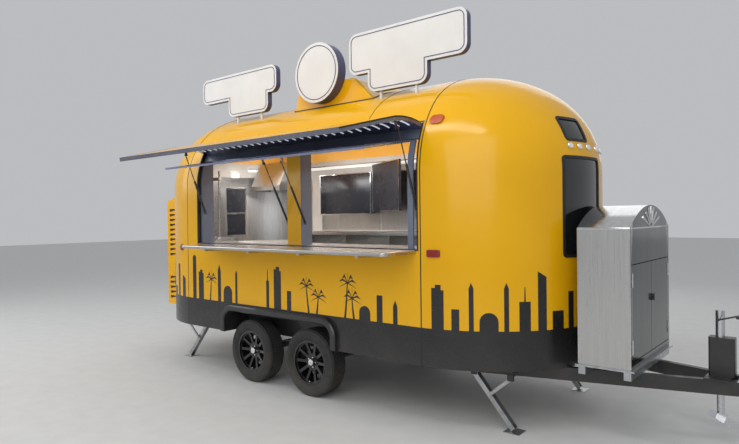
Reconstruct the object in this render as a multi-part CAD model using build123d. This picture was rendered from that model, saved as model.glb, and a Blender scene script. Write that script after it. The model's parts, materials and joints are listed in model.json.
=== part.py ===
"""Food trailer with a domed moulded body, one long serving hatch and a tandem axle.

Millimetres. +X runs forward to the drawbar, -Y is the serving side and +Z is up from the ground.
While the pieces are made, X = 0 is midway between the axles and Y = 0 is the body's centre plane.
Every piece is written about the bottom centre of the whole trailer's box.
"""

import os
from math import atan2, cos, degrees, pi, radians, sin, sqrt

from build123d import *

# Clearances
seat_gap = 0.3          # between pieces that seat on each other along a curve
running_gap = 0.05      # radial, between a shaft and its bore
swing_gap = 6.0         # round a piece that moves
knuckle_room = 2.0      # between a hinge's knuckle and the other leaf
past = 10.0             # how far a cutting block runs past what it cuts

# Moulded body: a straight middle with a round dome at each end
half_width = 1050.0
rear_axis_x = -1360.0   # vertical axis of the rear dome
front_axis_x = 1630.0   # vertical axis of the front dome
skirt_z = 480.0
crest_z = 2870.0
crown_radius = 1247.0   # the broad arc over the roof
shoulder_radius = 825.0  # the tighter arc between it and the upright wall
wall = 40.0
seam_lap = 60.0         # the end mouldings stop this far outside the dome axes
eaves_z = 2385.0        # the roof moulding sits on the walls here

# Chassis
rail_inset = 60.0       # from a wheel housing to the rail's centre
rail_width = 60.0
rail_height = 100.0
rail_top_z = 540.0
rail_front_inset = 380.0  # from the nose
rail_rear_inset = 390.0   # from the tail
cross_member_width = 50.0
rear_member_insets = (25.0, 370.0, 870.0)     # from the rails' rear ends
front_member_insets = (1150.0, 650.0, 25.0)   # from the rails' front ends
floor_thickness = 40.0

# Drawbar and coupling
drawbar_lap = 600.0     # how far it runs back under the rails
drawbar_start_inset = 55.0  # from a rail's centre
drawbar_reach = 1080.0  # from the nose
drawbar_end_y = 62.0
drawbar_width = 50.0
drawbar_height = 100.0
coupling_plate = 90.0
coupling_plate_half = 130.0
coupling_sheet = 8.0
coupler_reach = 140.0   # from the drawbar's end to the ball's centre
head_half = 34.0
head_height = 62.0
bell_radius = 42.0
bell_crown = 38.0
ball_radius = 25.0
socket_clearance = 0.3
socket_depth = 32.0

# Wheels
wheel_pitch = 820.0
tyre_radius = 310.0
tyre_width = 195.0
tyre_inset = 28.0       # inside the body's side
tyre_room = 67.0        # between a tyre and its housing
tyre_shoulder = 16.0
rim_radius = 196.0
rim_lip_radius = 206.0
rim_lip = 8.0
rim_well = 12.0         # the barrel's thickness at its middle
rim_width = 165.0
spoke_count = 10
spindle_radius = 22.0
stub_reach = 25.0       # past the wheel's centre plane
hub_radius = 58.0
hub_inner = 40.0
drum_radius = 118.0
drum_inner = 60.0
spoke_half_width = 13.0
window_inner_radius = 78.0  # the rim's windows, between its spokes
window_outer_radius = 178.0
rim_window_corner = 7.0
dish_hub_y = 38.0       # the rim's face, out from the wheel's centre plane
dish_rim_y = 62.0
dish_thickness = 20.0
hub_cap_radius = 34.0
axle_size = 60.0
spring_span = 640.0
spring_arch = 34.0
leaf_count = 4
leaf_thickness = 8.0
leaf_width = 50.0
arch_half_length = 745.0
arch_top_z = 700.0
arch_corner = 110.0
flare_width = 62.0
flare_stand = 45.0
housing_sheet = 8.0

# Serving opening, its frame and its counter
opening_rear_x = -1225.0
opening_front_x = 1660.0
sill_z = 1385.0
frame_depth = 150.0
frame_sheet = 22.0
frame_lap = 60.0
frame_bite = 2.0        # the flap's knuckles run this far into the frame's top bar
pillar_rear_x = 50.0
pillar_front_x = 236.0
pillar_inset = 132.0    # from the body's side
pillar_depth = 145.0
shelf_rear_x = -970.0
shelf_front_x = 1646.0
shelf_reach = 400.0
shelf_thickness = 28.0
shelf_corner = 60.0
shelf_brackets = 4
bracket_thickness = 30.0
bracket_depth = 26.0
bracket_reach = 330.0

# Hatch over the whole opening, and the glazed flap behind it
hatch_gap = 7.0
hatch_thickness = 35.0
hatch_swing = 76.0      # degrees from shut to open
hatch_pin_stand = 3.0   # from the shell's outer face to the hinge pin
hatch_knuckles = 15
hinge_radius = 7.0
flap_inset = 56.0       # from the body's outer face at the flap's pin
flap_pin_drop = 123.0   # below the roof moulding's edge
flap_knuckles = 11
flap_length = 585.0
flap_swing = 80.0
flap_thickness = 18.0
flap_border = 45.0
flap_rear_room = 135.0  # between the flap and the opening's ends
flap_front_room = 130.0
glass_thickness = 5.0

# Gas struts: a body that swings on the frame and a rod that slides in it
strut_body_radius = 11.0
strut_rod_radius = 5.0
strut_body_share = 0.92  # length of the body, as a share of the shut strut
strut_eye = 12.0
strut_eye_half = 4.0
strut_pin_radius = 5.0
strut_stand = 24.0      # from the frame's face to the strut's centre
strut_hold = 40.0       # rod left in the body when it is out
strut_lug = 8.0
hatch_strut_low_in = 65.0     # from the body's side, and above the sill
hatch_strut_low_rise = 320.0
hatch_strut_high_in = 86.0    # from the body's outer face, and below the roof moulding
hatch_strut_high_drop = 284.0
flap_strut_low_out = 33.0     # inwards from the pillar's face, and above the sill
flap_strut_low_rise = 205.0
flap_strut_high_in = 66.0     # from the flap's outer face, and below its pin
flap_strut_high_drop = 252.0

# Front windows and lamps
main_window_half_width = 430.0
main_window_low_z = 1330.0
main_window_high_z = 2085.0
upper_window_half_width = 350.0
upper_window_low_z = 2228.0
upper_window_high_z = 2400.0
window_corner = 32.0
pane_thickness = 6.0
pane_inset = 4.0

# Entry door in the far wall
door_rear_x = 900.0
door_width = 700.0
door_low_z = 640.0
door_high_z = 2300.0
door_gap = 10.0
door_pin_stand = 2.0
door_pin_radius = 9.0
door_hinge_rise = (180.0, 1040.0)   # above the door's lower edge
door_hinge_length = 120.0
door_pane_width = 420.0
door_pane_low_z = 1500.0
door_pane_high_z = 1940.0
door_pane_corner = 40.0
door_handle_z = 1350.0
door_handle_inset = 70.0

# Locker on the drawbar
locker_gap = 45.0       # between the nose and the locker
locker_length = 368.0
locker_half_width = 535.0
locker_low_z = 552.0
locker_eaves_z = 1546.0
locker_arch_rise = 165.0
locker_sheet = 14.0
locker_door_low_z = 600.0
locker_door_high_z = 1290.0
locker_door_thickness = 20.0
locker_hinge_radius = 8.0
locker_jamb = 30.0
locker_latch_z = 1010.0
platform_sheet = 12.0
bearer_width = 50.0

# Louvred cabinet on the rear dome
cabinet_half_width = 600.0
cabinet_reach = 130.0   # past the dome
cabinet_low_z = 570.0
cabinet_high_z = 1945.0
cabinet_slope = 70.0
cabinet_sheet = 30.0
louvre_pitch = 62.0
louvre_depth = 14.0
louvre_banks = ((640.0, 1010.0), (1180.0, 1820.0))

# Jockey jack on the drawbar
jack_setback = 210.0    # from the drawbar's end
jack_tube_radius = 30.0
jack_leg_radius = 25.0
jack_top_z = 950.0
jack_leg_low_z = 215.0
jack_foot_tilt = 24.0
jack_clamp_high_z = 760.0
jack_tube_low_z = 392.0
jack_hold = 288.0
saddle_half = 165.0

# Corner steadies
steady_inset = 10.0     # from a rail's centre
steady_drop = 35.0      # from the rail's underside to the pin
steady_foot_run = 330.0
steady_front_setback = 340.0  # from the rails' ends
steady_rear_setback = 440.0
steady_width = 50.0
steady_sheet = 5.0
steady_pad = 130.0
steady_pin = 8.0
brace_run = 320.0       # from the leg's pivot to the brace's pivot
brace_length = 250.0
brace_width = 12.0
brace_drop = 40.0       # degrees below level

# Roof signs
sign_y = -600.0
board_thickness = 60.0
board_corner = 85.0
boards = (              # each board's upper and lower lobe: its two x, then low and high above the crest
    (((-1694.0, -408.0), (115.0, 400.0)), ((-1215.0, -545.0), (-80.0, 200.0))),
    (((612.0, 1880.0), (100.0, 480.0)), ((838.0, 1490.0), (-85.0, 180.0))),
)
disc_x = 200.0
disc_rise = 197.0       # its centre, above the crest
disc_radius = 293.0
disc_thickness = 110.0
post_radius = 14.0
post_shares = (0.2, 0.8)  # along a board's lower lobe

# Roof cowl over the vent, with the round sign on its serving side
cowl_foot_x = (-230.0, 850.0)
cowl_top_x = (-155.0, 590.0)
cowl_far_y = 260.0
cowl_rise = 115.0
cowl_foot_drop = 135.0
cowl_round = 110.0
cowl_edge = 30.0
cowl_sheet = 25.0

# Marker lamps
lens_rise = 14.0
side_lamps = (          # x, z, half length, half height, corner
    (1776.0, 2404.0, 57.0, 35.0, 34.0),
    (1802.0, 1358.0, 52.0, 52.0, 16.0),
    (-1555.0, 1329.0, 34.0, 34.0, 33.0),
)
front_lamp_y = (95.0, 225.0, 335.0)
front_lamp_z = 2178.0
front_lamp_radius = 20.0
tail_lamp_y = (720.0, 820.0)
tail_lamp_z = 900.0
tail_lamp_radius = 42.0

# Fittings inside
counter_top_z = 1470.0
counter_depth = 480.0
worktop_thickness = 25.0
worktop_lip = 30.0      # past the carcass
counter_sheet = 18.0
plinth = 110.0
serving_counter_x = (-1650.0, 1640.0)
back_counter_x = (-1200.0, 820.0)
hood_x = (-2060.0, -1500.0)
hood_low_z = 2010.0
hood_high_z = 2380.0
hood_front_y = 380.0
hood_lip = 60.0
hood_rake = 160.0
hood_sheet = 15.0
spit_x = -1370.0
spit_setback = 130.0    # from the counter's front edge
spit_plate_radius = 105.0
spit_rod_radius = 10.0
spit_rod_high_z = 2190.0
grill_tray = (190.0, 150.0)   # half its length and depth
grill_rim = 30.0
burner_height = 700.0
burner_thickness = 60.0

# Worked out from the sizes above
lug_stand = strut_stand + strut_eye_half + swing_gap + strut_lug / 2
seam_front_x = front_axis_x + seam_lap
seam_rear_x = rear_axis_x - seam_lap
nose_x = front_axis_x + half_width
tail_x = rear_axis_x - half_width
shoulder_y = half_width - shoulder_radius
crown_z = crest_z - crown_radius
wall_top_z = crown_z + sqrt((crown_radius - shoulder_radius)**2 - shoulder_y**2)   # the shoulder starts here
shoulder_end = atan2(wall_top_z - crown_z, shoulder_y)
rail_low_z = rail_top_z - rail_height
floor_z = rail_top_z + floor_thickness
inner_half_width = half_width - wall
tyre_outer_y = half_width - tyre_inset
housing_inner_y = tyre_outer_y - tyre_width - tyre_room
rail_y = housing_inner_y - rail_inset
rail_front_x = nose_x - rail_front_inset
rail_rear_x = tail_x + rail_rear_inset
cross_member_x = [rail_rear_x + inset for inset in rear_member_insets]
cross_member_x += [rail_front_x - inset for inset in front_member_insets]
drawbar_start_x = rail_front_x - drawbar_lap
drawbar_start_y = rail_y - drawbar_start_inset
drawbar_end_x = nose_x + drawbar_reach
coupler_x = drawbar_end_x + coupler_reach
jack_x = drawbar_end_x - jack_setback
locker_rear_x = nose_x + locker_gap
steady_y = rail_y - steady_inset
steady_pivot_z = rail_low_z - steady_drop
steady_pivot_x = {"front": rail_front_x - steady_front_setback, "rear": rail_rear_x + steady_rear_setback}
pillar_face_y = half_width - pillar_inset

parts = {}


def block(x, y, z):
    """A box between low and high coordinates."""
    size = (x[1] - x[0], y[1] - y[0], z[1] - z[0])
    return Pos(x[0], y[0], z[0]) * Box(*size, align=(Align.MIN, Align.MIN, Align.MIN))


def rod(start, end, radius):
    """A round bar between two points."""
    run = Vector(*end) - Vector(*start)
    from_start = (Align.CENTER, Align.CENTER, Align.MIN)
    return Plane(origin=start, z_dir=run) * Cylinder(radius, run.length, align=from_start)


def flat_bar(start, end, width, thickness):
    """A square-ended bar between two points, thick along Y and wide square to its run."""
    run = Vector(*end) - Vector(*start)
    plane = Plane(origin=start, x_dir=(0, 1, 0), z_dir=run)
    return plane * Box(thickness, width, run.length, align=(Align.CENTER, Align.CENTER, Align.MIN))


def other_side(shape):
    """The same piece on the far side of the trailer."""
    return mirror(shape, about=Plane.XZ)


def outer_y(z):
    """How far out the body's outer face is at a height on its wall or shoulder."""
    rise = max(z - wall_top_z, 0)
    return shoulder_y + sqrt(shoulder_radius**2 - rise**2)


def on_arc(centre, radius, angle):
    """A point of an arc in the body's section."""
    return (centre[0] + radius * cos(angle), centre[1] + radius * sin(angle))


def together(*shapes):
    """Solids of one node that don't touch."""
    return Compound([solid for shape in shapes for solid in shape.solids()])


def half_section(inset, low_z):
    """Half of the body's section, from the centre plane out, this far inside the outer face."""
    reach = half_width - inset
    shoulder = (shoulder_y, wall_top_z)
    crown = (0, crown_z)
    bend = on_arc(shoulder, shoulder_radius - inset, shoulder_end)
    shoulder_mid = on_arc(shoulder, shoulder_radius - inset, shoulder_end / 2)
    crown_mid = on_arc(crown, crown_radius - inset, (shoulder_end + pi / 2) / 2)
    top = (0, crest_z - inset)
    return make_face([
        Line((0, low_z), (reach, low_z)),
        Line((reach, low_z), (reach, wall_top_z)),
        ThreePointArc((reach, wall_top_z), shoulder_mid, bend),
        ThreePointArc(bend, crown_mid, top),
        Line(top, (0, low_z)),
    ])


def hull(inset, low_z):
    """The body as a solid: a straight middle and a half-turn of the same section at each end."""
    half = Plane.YZ * half_section(inset, low_z)
    straight = extrude(Pos(rear_axis_x, 0, 0) * half, front_axis_x - rear_axis_x)
    front = revolve(Pos(front_axis_x, 0, 0) * half, Axis((front_axis_x, 0, 0), (0, 0, -1)), 180)
    rear = revolve(Pos(rear_axis_x, 0, 0) * half, Axis((rear_axis_x, 0, 0), (0, 0, 1)), 180)
    return straight + other_side(straight) + front + rear


def rounded_prism(x, y, z, corner, along):
    """A bar with rounded corners that runs along X or Y, between low and high coordinates."""
    if along == "x":
        face = RectangleRounded(y[1] - y[0], z[1] - z[0], corner)
        return extrude(Pos(x[0], sum(y) / 2, sum(z) / 2) * (Plane.YZ * face), x[1] - x[0])
    face = RectangleRounded(x[1] - x[0], z[1] - z[0], corner)
    return extrude(Pos(sum(x) / 2, y[1], sum(z) / 2) * (Plane.XZ * face), y[1] - y[0])


def hinge(fixed, moving, start, end, radius, count):
    """Knuckles along a pin, fixed and moving ones in turn, each with room cut in the other piece."""
    step = (Vector(*end) - Vector(*start)) / count
    lift = step.normalized() * seat_gap / 2
    for index in range(count):
        low_end = Vector(*start) + step * index
        high_end = low_end + step
        knuckle = rod(low_end + lift, high_end - lift, radius)
        room = rod(low_end, high_end, radius + knuckle_room)
        if index % 2:
            moving = moving + knuckle
            fixed = fixed - room
        else:
            fixed = fixed + knuckle
            moving = moving - room
    return fixed, moving


# Body shell
outer_hull = hull(0, skirt_z)
far = half_width + past
cut_high_z = crest_z + past
cut_low_z = skirt_z - past
shell = outer_hull - hull(wall, cut_low_z)
middle_x = (seam_rear_x, seam_front_x)
front_cap = shell & block((seam_front_x, nose_x + past), (-far, far), (cut_low_z, cut_high_z))
rear_cap = shell & block((tail_x - past, seam_rear_x), (-far, far), (cut_low_z, cut_high_z))
roof = shell & block(middle_x, (-far, far), (eaves_z, cut_high_z))
serving_wall = shell & block(middle_x, (-far, 0), (cut_low_z, eaves_z))
far_wall = shell & block(middle_x, (0, far), (cut_low_z, eaves_z))

# Windows in the front dome
windows = (
    (main_window_half_width, main_window_low_z, main_window_high_z),
    (upper_window_half_width, upper_window_low_z, upper_window_high_z),
)
pane_shell = hull(pane_inset, skirt_z) - hull(pane_inset + pane_thickness, cut_low_z)
panes = []
for pane_half_width, pane_low, pane_high in windows:
    front_x = (seam_front_x, nose_x + past)
    cut = rounded_prism(front_x, (-pane_half_width, pane_half_width), (pane_low, pane_high),
                        window_corner, "x")
    front_cap -= cut
    edge = seat_gap
    fitted = rounded_prism(front_x, (edge - pane_half_width, pane_half_width - edge),
                           (pane_low + edge, pane_high - edge), window_corner - edge, "x")
    panes.append(pane_shell & fitted)
parts["front_cap"] = front_cap
parts["rear_cap"] = rear_cap
parts["roof"] = roof
parts["front_windows"] = together(*panes)

# Wheel arches through both walls
arch_x = (-arch_half_length, arch_half_length)
arch_low = skirt_z - 2 * arch_corner
for side in (-1, 1):
    y = sorted((side * (inner_half_width - past), side * far))
    arch = rounded_prism(arch_x, y, (arch_low, arch_top_z), arch_corner, "y")
    if side < 0:
        serving_wall -= arch
    else:
        far_wall -= arch

# Serving opening, open at its top to the roof moulding
opening_x = (opening_rear_x, opening_front_x)
serving_wall -= block(opening_x, (-far, -shoulder_y), (sill_z, eaves_z + past))
parts["serving_wall"] = serving_wall

# Entry door in the far wall, cut from the same moulding
door_x = (door_rear_x, door_rear_x + door_width)
door_opening = block(door_x, (shoulder_y, far), (door_low_z, door_high_z))
far_wall -= door_opening
leaf_x = (door_x[0] + door_gap, door_x[1] - door_gap)
leaf_z = (door_low_z + door_gap, door_high_z - door_gap)
entry_door = shell & block(leaf_x, (shoulder_y, far), leaf_z)
door_middle = sum(door_x) / 2
door_pane_x = (door_middle - door_pane_width / 2, door_middle + door_pane_width / 2)
door_pane_z = (door_pane_low_z, door_pane_high_z)
entry_door -= rounded_prism(door_pane_x, (shoulder_y, far), door_pane_z, door_pane_corner, "y")
door_pin_x = door_x[0] + door_gap / 2
door_pin_y = half_width + door_pin_stand
for rise in door_hinge_rise:
    pin_start = (door_pin_x, door_pin_y, door_low_z + rise)
    pin_end = (door_pin_x, door_pin_y, door_low_z + rise + door_hinge_length)
    far_wall, entry_door = hinge(far_wall, entry_door, pin_start, pin_end, door_pin_radius, 2)
pane_edge = door_pane_width / 2 - seat_gap
door_pane = rounded_prism((door_middle - pane_edge, door_middle + pane_edge),
                          (half_width - wall / 2, half_width - wall / 2 + glass_thickness),
                          (door_pane_low_z + seat_gap, door_pane_high_z - seat_gap),
                          door_pane_corner - seat_gap, "y")
handle_x = leaf_x[1] - door_handle_inset
handle = block((handle_x - 60, handle_x + 40), (half_width - 1, half_width + 14),
               (door_handle_z - 45, door_handle_z + 45))
handle += block((handle_x - 50, handle_x + 30), (half_width + 14, half_width + 40),
                (door_handle_z - 12, door_handle_z + 12))
entry_door += handle
parts["far_wall"] = far_wall
parts["entry_door"] = entry_door
parts["entry_door_window"] = door_pane

# Floor, with notches for the wheel housings
floor = hull(wall + seat_gap, skirt_z) & block((tail_x, nose_x), (-far, far), (rail_top_z, floor_z))
housing_x = (-arch_half_length - housing_sheet, arch_half_length + housing_sheet)
for side in (-1, 1):
    y = sorted((side * (housing_inner_y - seat_gap), side * far))
    floor -= block((housing_x[0] - seat_gap, housing_x[1] + seat_gap), y, (cut_low_z, floor_z + past))
parts["floor"] = floor

# Wheel housings: sheet boxes, open below and towards the wheel
housing_top = arch_top_z + housing_sheet
housing_y = (housing_inner_y, inner_half_width - seat_gap)
housing = block(housing_x, housing_y, (skirt_z, housing_top))
housing -= block(arch_x, (housing_inner_y + housing_sheet, far), (cut_low_z, arch_top_z))
parts["wheel_housings"] = together(housing, other_side(housing))

# Flares round the arches
flare_x = (arch_x[0] - flare_width, arch_x[1] + flare_width)
flare_top = arch_top_z + flare_width
flare_y = (half_width + seat_gap, half_width + flare_stand)
flare = rounded_prism(flare_x, flare_y, (arch_low - flare_width, flare_top), arch_corner + flare_width, "y")
flare_cut_y = (half_width - past, far + flare_stand)
flare -= rounded_prism(arch_x, flare_cut_y, (arch_low, arch_top_z), arch_corner, "y")
flare -= block((flare_x[0] - past, flare_x[1] + past), flare_cut_y, (0, skirt_z))
outer_edges = flare.faces().sort_by(Axis.Y)[-1].edges()
flare = chamfer(outer_edges, 12)
parts["wheel_flares"] = together(flare, other_side(flare))

# Chassis: rails, cross members and drawbar, welded up from box section
rail = block((rail_rear_x, rail_front_x), (rail_y - rail_width / 2, rail_y + rail_width / 2),
             (rail_low_z, rail_top_z))
chassis = rail + other_side(rail)
member_y = rail_y - rail_width / 2
for x in cross_member_x:
    half = cross_member_width / 2
    chassis += block((x - half, x + half), (-member_y, member_y), (rail_low_z, rail_top_z))

# The drawbar's two beams run in under the body and meet at the coupling
beam_run = atan2(drawbar_start_y - drawbar_end_y, drawbar_end_x - drawbar_start_x)
beam_length = sqrt((drawbar_end_x - drawbar_start_x)**2 + (drawbar_start_y - drawbar_end_y)**2)
beam = Box(beam_length, drawbar_width, drawbar_height, align=(Align.MIN, Align.CENTER, Align.MAX))
beam = Pos(drawbar_start_x, drawbar_start_y, skirt_z) * Rot(0, 0, -degrees(beam_run)) * beam
beam &= block((drawbar_start_x - 40, drawbar_end_x + 40), (0, member_y), (skirt_z - drawbar_height, skirt_z))
chassis += beam + other_side(beam)

# Coupling head on its nose plate
head_low_z = skirt_z + coupling_sheet
head_high_z = head_low_z + head_height
plate = block((drawbar_end_x - coupling_plate, drawbar_end_x + 20),
              (-coupling_plate_half, coupling_plate_half), (skirt_z, head_low_z))
head = block((drawbar_end_x - coupling_plate, coupler_x), (-head_half, head_half), (head_low_z, head_high_z))
head = fillet(head.edges().filter_by(Axis.X).sort_by(Axis.Z)[-2:], head_half / 2)
head += rod((coupler_x, 0, head_low_z), (coupler_x, 0, head_high_z), bell_radius)
head += Pos(coupler_x, 0, head_high_z) * Sphere(bell_crown)
head -= rod((coupler_x, 0, head_low_z), (coupler_x, 0, head_low_z + socket_depth),
            ball_radius + socket_clearance)
parts["coupling"] = plate + head

# Hatch: the piece of the moulding that was cut out, swung up about its top edge
pin_z = eaves_z - hatch_gap / 2
pin_rise = pin_z - wall_top_z
pin_reach = sqrt(shoulder_radius**2 - pin_rise**2)
hatch_pin_y = -(shoulder_y + pin_reach * (1 + hatch_pin_stand / shoulder_radius))
hatch_pin_z = pin_z + pin_rise * hatch_pin_stand / shoulder_radius
hatch_x = (opening_rear_x + hatch_gap, opening_front_x - hatch_gap)
hatch = outer_hull - hull(hatch_thickness, cut_low_z)
hatch &= block(hatch_x, (-far, -shoulder_y), (sill_z + hatch_gap, eaves_z - hatch_gap))
roof, hatch = hinge(roof, hatch, (hatch_x[0], hatch_pin_y, hatch_pin_z),
                    (hatch_x[1], hatch_pin_y, hatch_pin_z), hinge_radius, hatch_knuckles)


def swung(point, pin, angle):
    """A point of the Y-Z plane, turned about a pin."""
    turn = radians(angle)
    y = point[0] - pin[0]
    z = point[1] - pin[1]
    return (pin[0] + y * cos(turn) - z * sin(turn), pin[1] + y * sin(turn) + z * cos(turn))


def swing(shape, pin, angle):
    """A piece turned about a pin that runs along X."""
    return Pos(0, *pin) * Rot(angle, 0, 0) * Pos(0, -pin[0], -pin[1]) * shape


hatch_pin = (hatch_pin_y, hatch_pin_z)
flap_pin_z = eaves_z - flap_pin_drop
flap_y = outer_y(flap_pin_z) - flap_inset     # its outer face, shut
flap_pin = (-flap_y, flap_pin_z)

# Frame round the opening, seated inside the wall, with the pillar between its two halves
frame_y = (-inner_half_width + seat_gap, -inner_half_width + frame_depth)
frame_low_z = sill_z - frame_lap
frame = block((opening_rear_x - frame_lap, seam_front_x), frame_y, (frame_low_z, crest_z))
frame_bar_z = flap_pin_z + hinge_radius - frame_bite
frame_light_x = (opening_rear_x + frame_sheet, opening_front_x - frame_sheet)
frame -= block(frame_light_x, (-far, 0), (sill_z, frame_bar_z))
inner_hull = hull(wall + seat_gap, skirt_z)
frame &= inner_hull
frame &= block((tail_x, nose_x), (-far, 0), (frame_low_z, eaves_z + frame_lap))
pillar = block((pillar_rear_x, pillar_front_x), (-pillar_face_y, -pillar_face_y + pillar_depth),
               (sill_z, frame_bar_z))
frame += pillar

# Glazed flap behind the hatch, hung from the frame
flap_x = (opening_rear_x + flap_rear_room, opening_front_x - flap_front_room)
flap_face = (-flap_y, -flap_y + flap_thickness)
flap_high_z = flap_pin_z - hinge_radius / 2
glass_y = sum(flap_face) / 2
flap_low_z = flap_pin_z - flap_length
flap_frame = block(flap_x, flap_face, (flap_low_z, flap_high_z))
bar_x = [flap_x[0] + flap_border / 2, pillar_rear_x - lug_stand, pillar_front_x + lug_stand,
         flap_x[1] - flap_border / 2]
light_z = (flap_low_z + flap_border, flap_high_z - flap_border)
flap_panes = []
for rear_bar, front_bar in zip(bar_x, bar_x[1:]):
    light_x = (rear_bar + flap_border / 2, front_bar - flap_border / 2)
    flap_frame -= block(light_x, (-far, 0), light_z)
    flap_panes.append(block((light_x[0] + seat_gap, light_x[1] - seat_gap),
                            (glass_y - glass_thickness / 2, glass_y + glass_thickness / 2),
                            (light_z[0] + seat_gap, light_z[1] - seat_gap)))
frame, flap_frame = hinge(frame, flap_frame, (flap_x[0], *flap_pin), (flap_x[1], *flap_pin),
                          hinge_radius, flap_knuckles)
hatch_strut_low = (hatch_strut_low_in - half_width, sill_z + hatch_strut_low_rise)
hatch_strut_high_z = eaves_z - hatch_strut_high_drop
hatch_strut_high = (hatch_strut_high_in - outer_y(hatch_strut_high_z), hatch_strut_high_z)
flap_strut_low = (flap_strut_low_out - pillar_face_y, sill_z + flap_strut_low_rise)
flap_strut_high = (flap_strut_high_in - flap_y, flap_pin_z - flap_strut_high_drop)

# Gas struts: name, pin's x, which way the pin points, low pin, shut high pin, panel's pin and swing
strut_table = (
    ("hatch_strut_rear", frame_light_x[0], 1, hatch_strut_low, hatch_strut_high, hatch_pin, hatch_swing),
    ("hatch_strut_front", frame_light_x[1], -1, hatch_strut_low, hatch_strut_high, hatch_pin, hatch_swing),
    ("flap_strut_rear", pillar_rear_x, -1, flap_strut_low, flap_strut_high, flap_pin, flap_swing),
    ("flap_strut_front", pillar_front_x, 1, flap_strut_low, flap_strut_high, flap_pin, flap_swing),
)
strut_motion = {}
for name, face_x, way, low_pin, high_shut, panel_pin, panel_swing in strut_table:
    high_open = swung(high_shut, panel_pin, -panel_swing)
    open_run = (high_open[0] - low_pin[0], high_open[1] - low_pin[1])
    shut_run = (high_shut[0] - low_pin[0], high_shut[1] - low_pin[1])
    open_length = sqrt(open_run[0]**2 + open_run[1]**2)
    shut_length = sqrt(shut_run[0]**2 + shut_run[1]**2)
    body_length = shut_length * strut_body_share
    aim = (open_run[0] / open_length, open_run[1] / open_length)
    x = face_x + way * strut_stand

    def along(distance, x=x, low_pin=low_pin, aim=aim):
        """A point of this strut's centre line."""
        return (x, low_pin[0] + aim[0] * distance, low_pin[1] + aim[1] * distance)

    eye_x = (x - strut_eye_half, x + strut_eye_half)
    body = rod(along(strut_eye * 0.7), along(body_length), strut_body_radius)
    body += rod((eye_x[0], *low_pin), (eye_x[1], *low_pin), strut_eye)
    body -= rod((eye_x[0] - 1, *low_pin), (eye_x[1] + 1, *low_pin), strut_pin_radius + running_gap)
    body -= rod(along(strut_eye + 20), along(body_length + 1), strut_rod_radius + running_gap)
    slide = rod(along(body_length - strut_hold), along(open_length), strut_rod_radius)
    high_pin = along(open_length)
    slide += rod((eye_x[0], *high_pin[1:]), (eye_x[1], *high_pin[1:]), strut_eye)
    parts[name + "_body"] = body
    parts[name + "_rod"] = slide
    frame += rod((face_x - way, *low_pin), (x + way * strut_eye_half, *low_pin), strut_pin_radius)
    # The lug on the panel is made shut, beside the rod's eye
    lug_middle = face_x + way * lug_stand
    lug_x = (lug_middle - strut_lug / 2, lug_middle + strut_lug / 2)
    lug_z = (high_shut[1] - strut_eye, high_shut[1] + strut_eye)
    if panel_pin is hatch_pin:
        lug = block(lug_x, (-far, high_shut[0] + strut_eye), lug_z)
        hatch += lug & hull(hatch_thickness / 2, skirt_z)
    else:
        flap_frame += block(lug_x, (flap_face[1], high_shut[0] + strut_eye), lug_z)
    turn = degrees(atan2(shut_run[1], shut_run[0]) - atan2(open_run[1], open_run[0]))
    strut_motion[name] = (low_pin, high_pin[1:], aim, turn, shut_length - open_length)

parts["roof"] = roof
parts["opening_frame"] = frame
parts["hatch"] = swing(hatch, hatch_pin, -hatch_swing)
parts["flap_frame"] = swing(flap_frame, flap_pin, -flap_swing)
parts["flap_glass"] = swing(together(*flap_panes), flap_pin, -flap_swing)

# Serving shelf: a folded sheet on its brackets
shelf_y = (-half_width - shelf_reach, -half_width)
shelf_top_z = sill_z - 5
shelf_low_z = shelf_top_z - shelf_thickness
shelf = block((shelf_rear_x, shelf_front_x), shelf_y, (shelf_low_z, shelf_top_z))
shelf = fillet(shelf.edges().filter_by(Axis.Z).sort_by(Axis.Y)[:2], shelf_corner)
shelf_lip = shelf.faces().sort_by(Axis.Z)[-1].edges().filter_by(Axis.X).sort_by(Axis.Y)[0]
shelf = fillet(shelf_lip, shelf_thickness / 3)
for index in range(shelf_brackets):
    x = shelf_rear_x + (shelf_front_x - shelf_rear_x) * (index + 0.5) / shelf_brackets
    shelf += block((x - bracket_thickness / 2, x + bracket_thickness / 2),
                   (-half_width - bracket_reach, -half_width), (shelf_low_z - bracket_depth, shelf_low_z))
parts["serving_shelf"] = shelf

# Axles, with stub ends for the hubs
wheel_y = tyre_outer_y - tyre_width / 2
axle_z = tyre_radius
beam_y = wheel_y - drum_inner - 15
axle_x = (-wheel_pitch / 2, wheel_pitch / 2)
axles = []
for x in axle_x:
    half = axle_size / 2
    tube = block((x - half, x + half), (-beam_y, beam_y), (axle_z - half, axle_z + half))
    stub = rod((x, -wheel_y - stub_reach, axle_z), (x, wheel_y + stub_reach, axle_z), spindle_radius)
    axles.append(tube + stub)
parts["axles"] = together(*axles)

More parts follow.
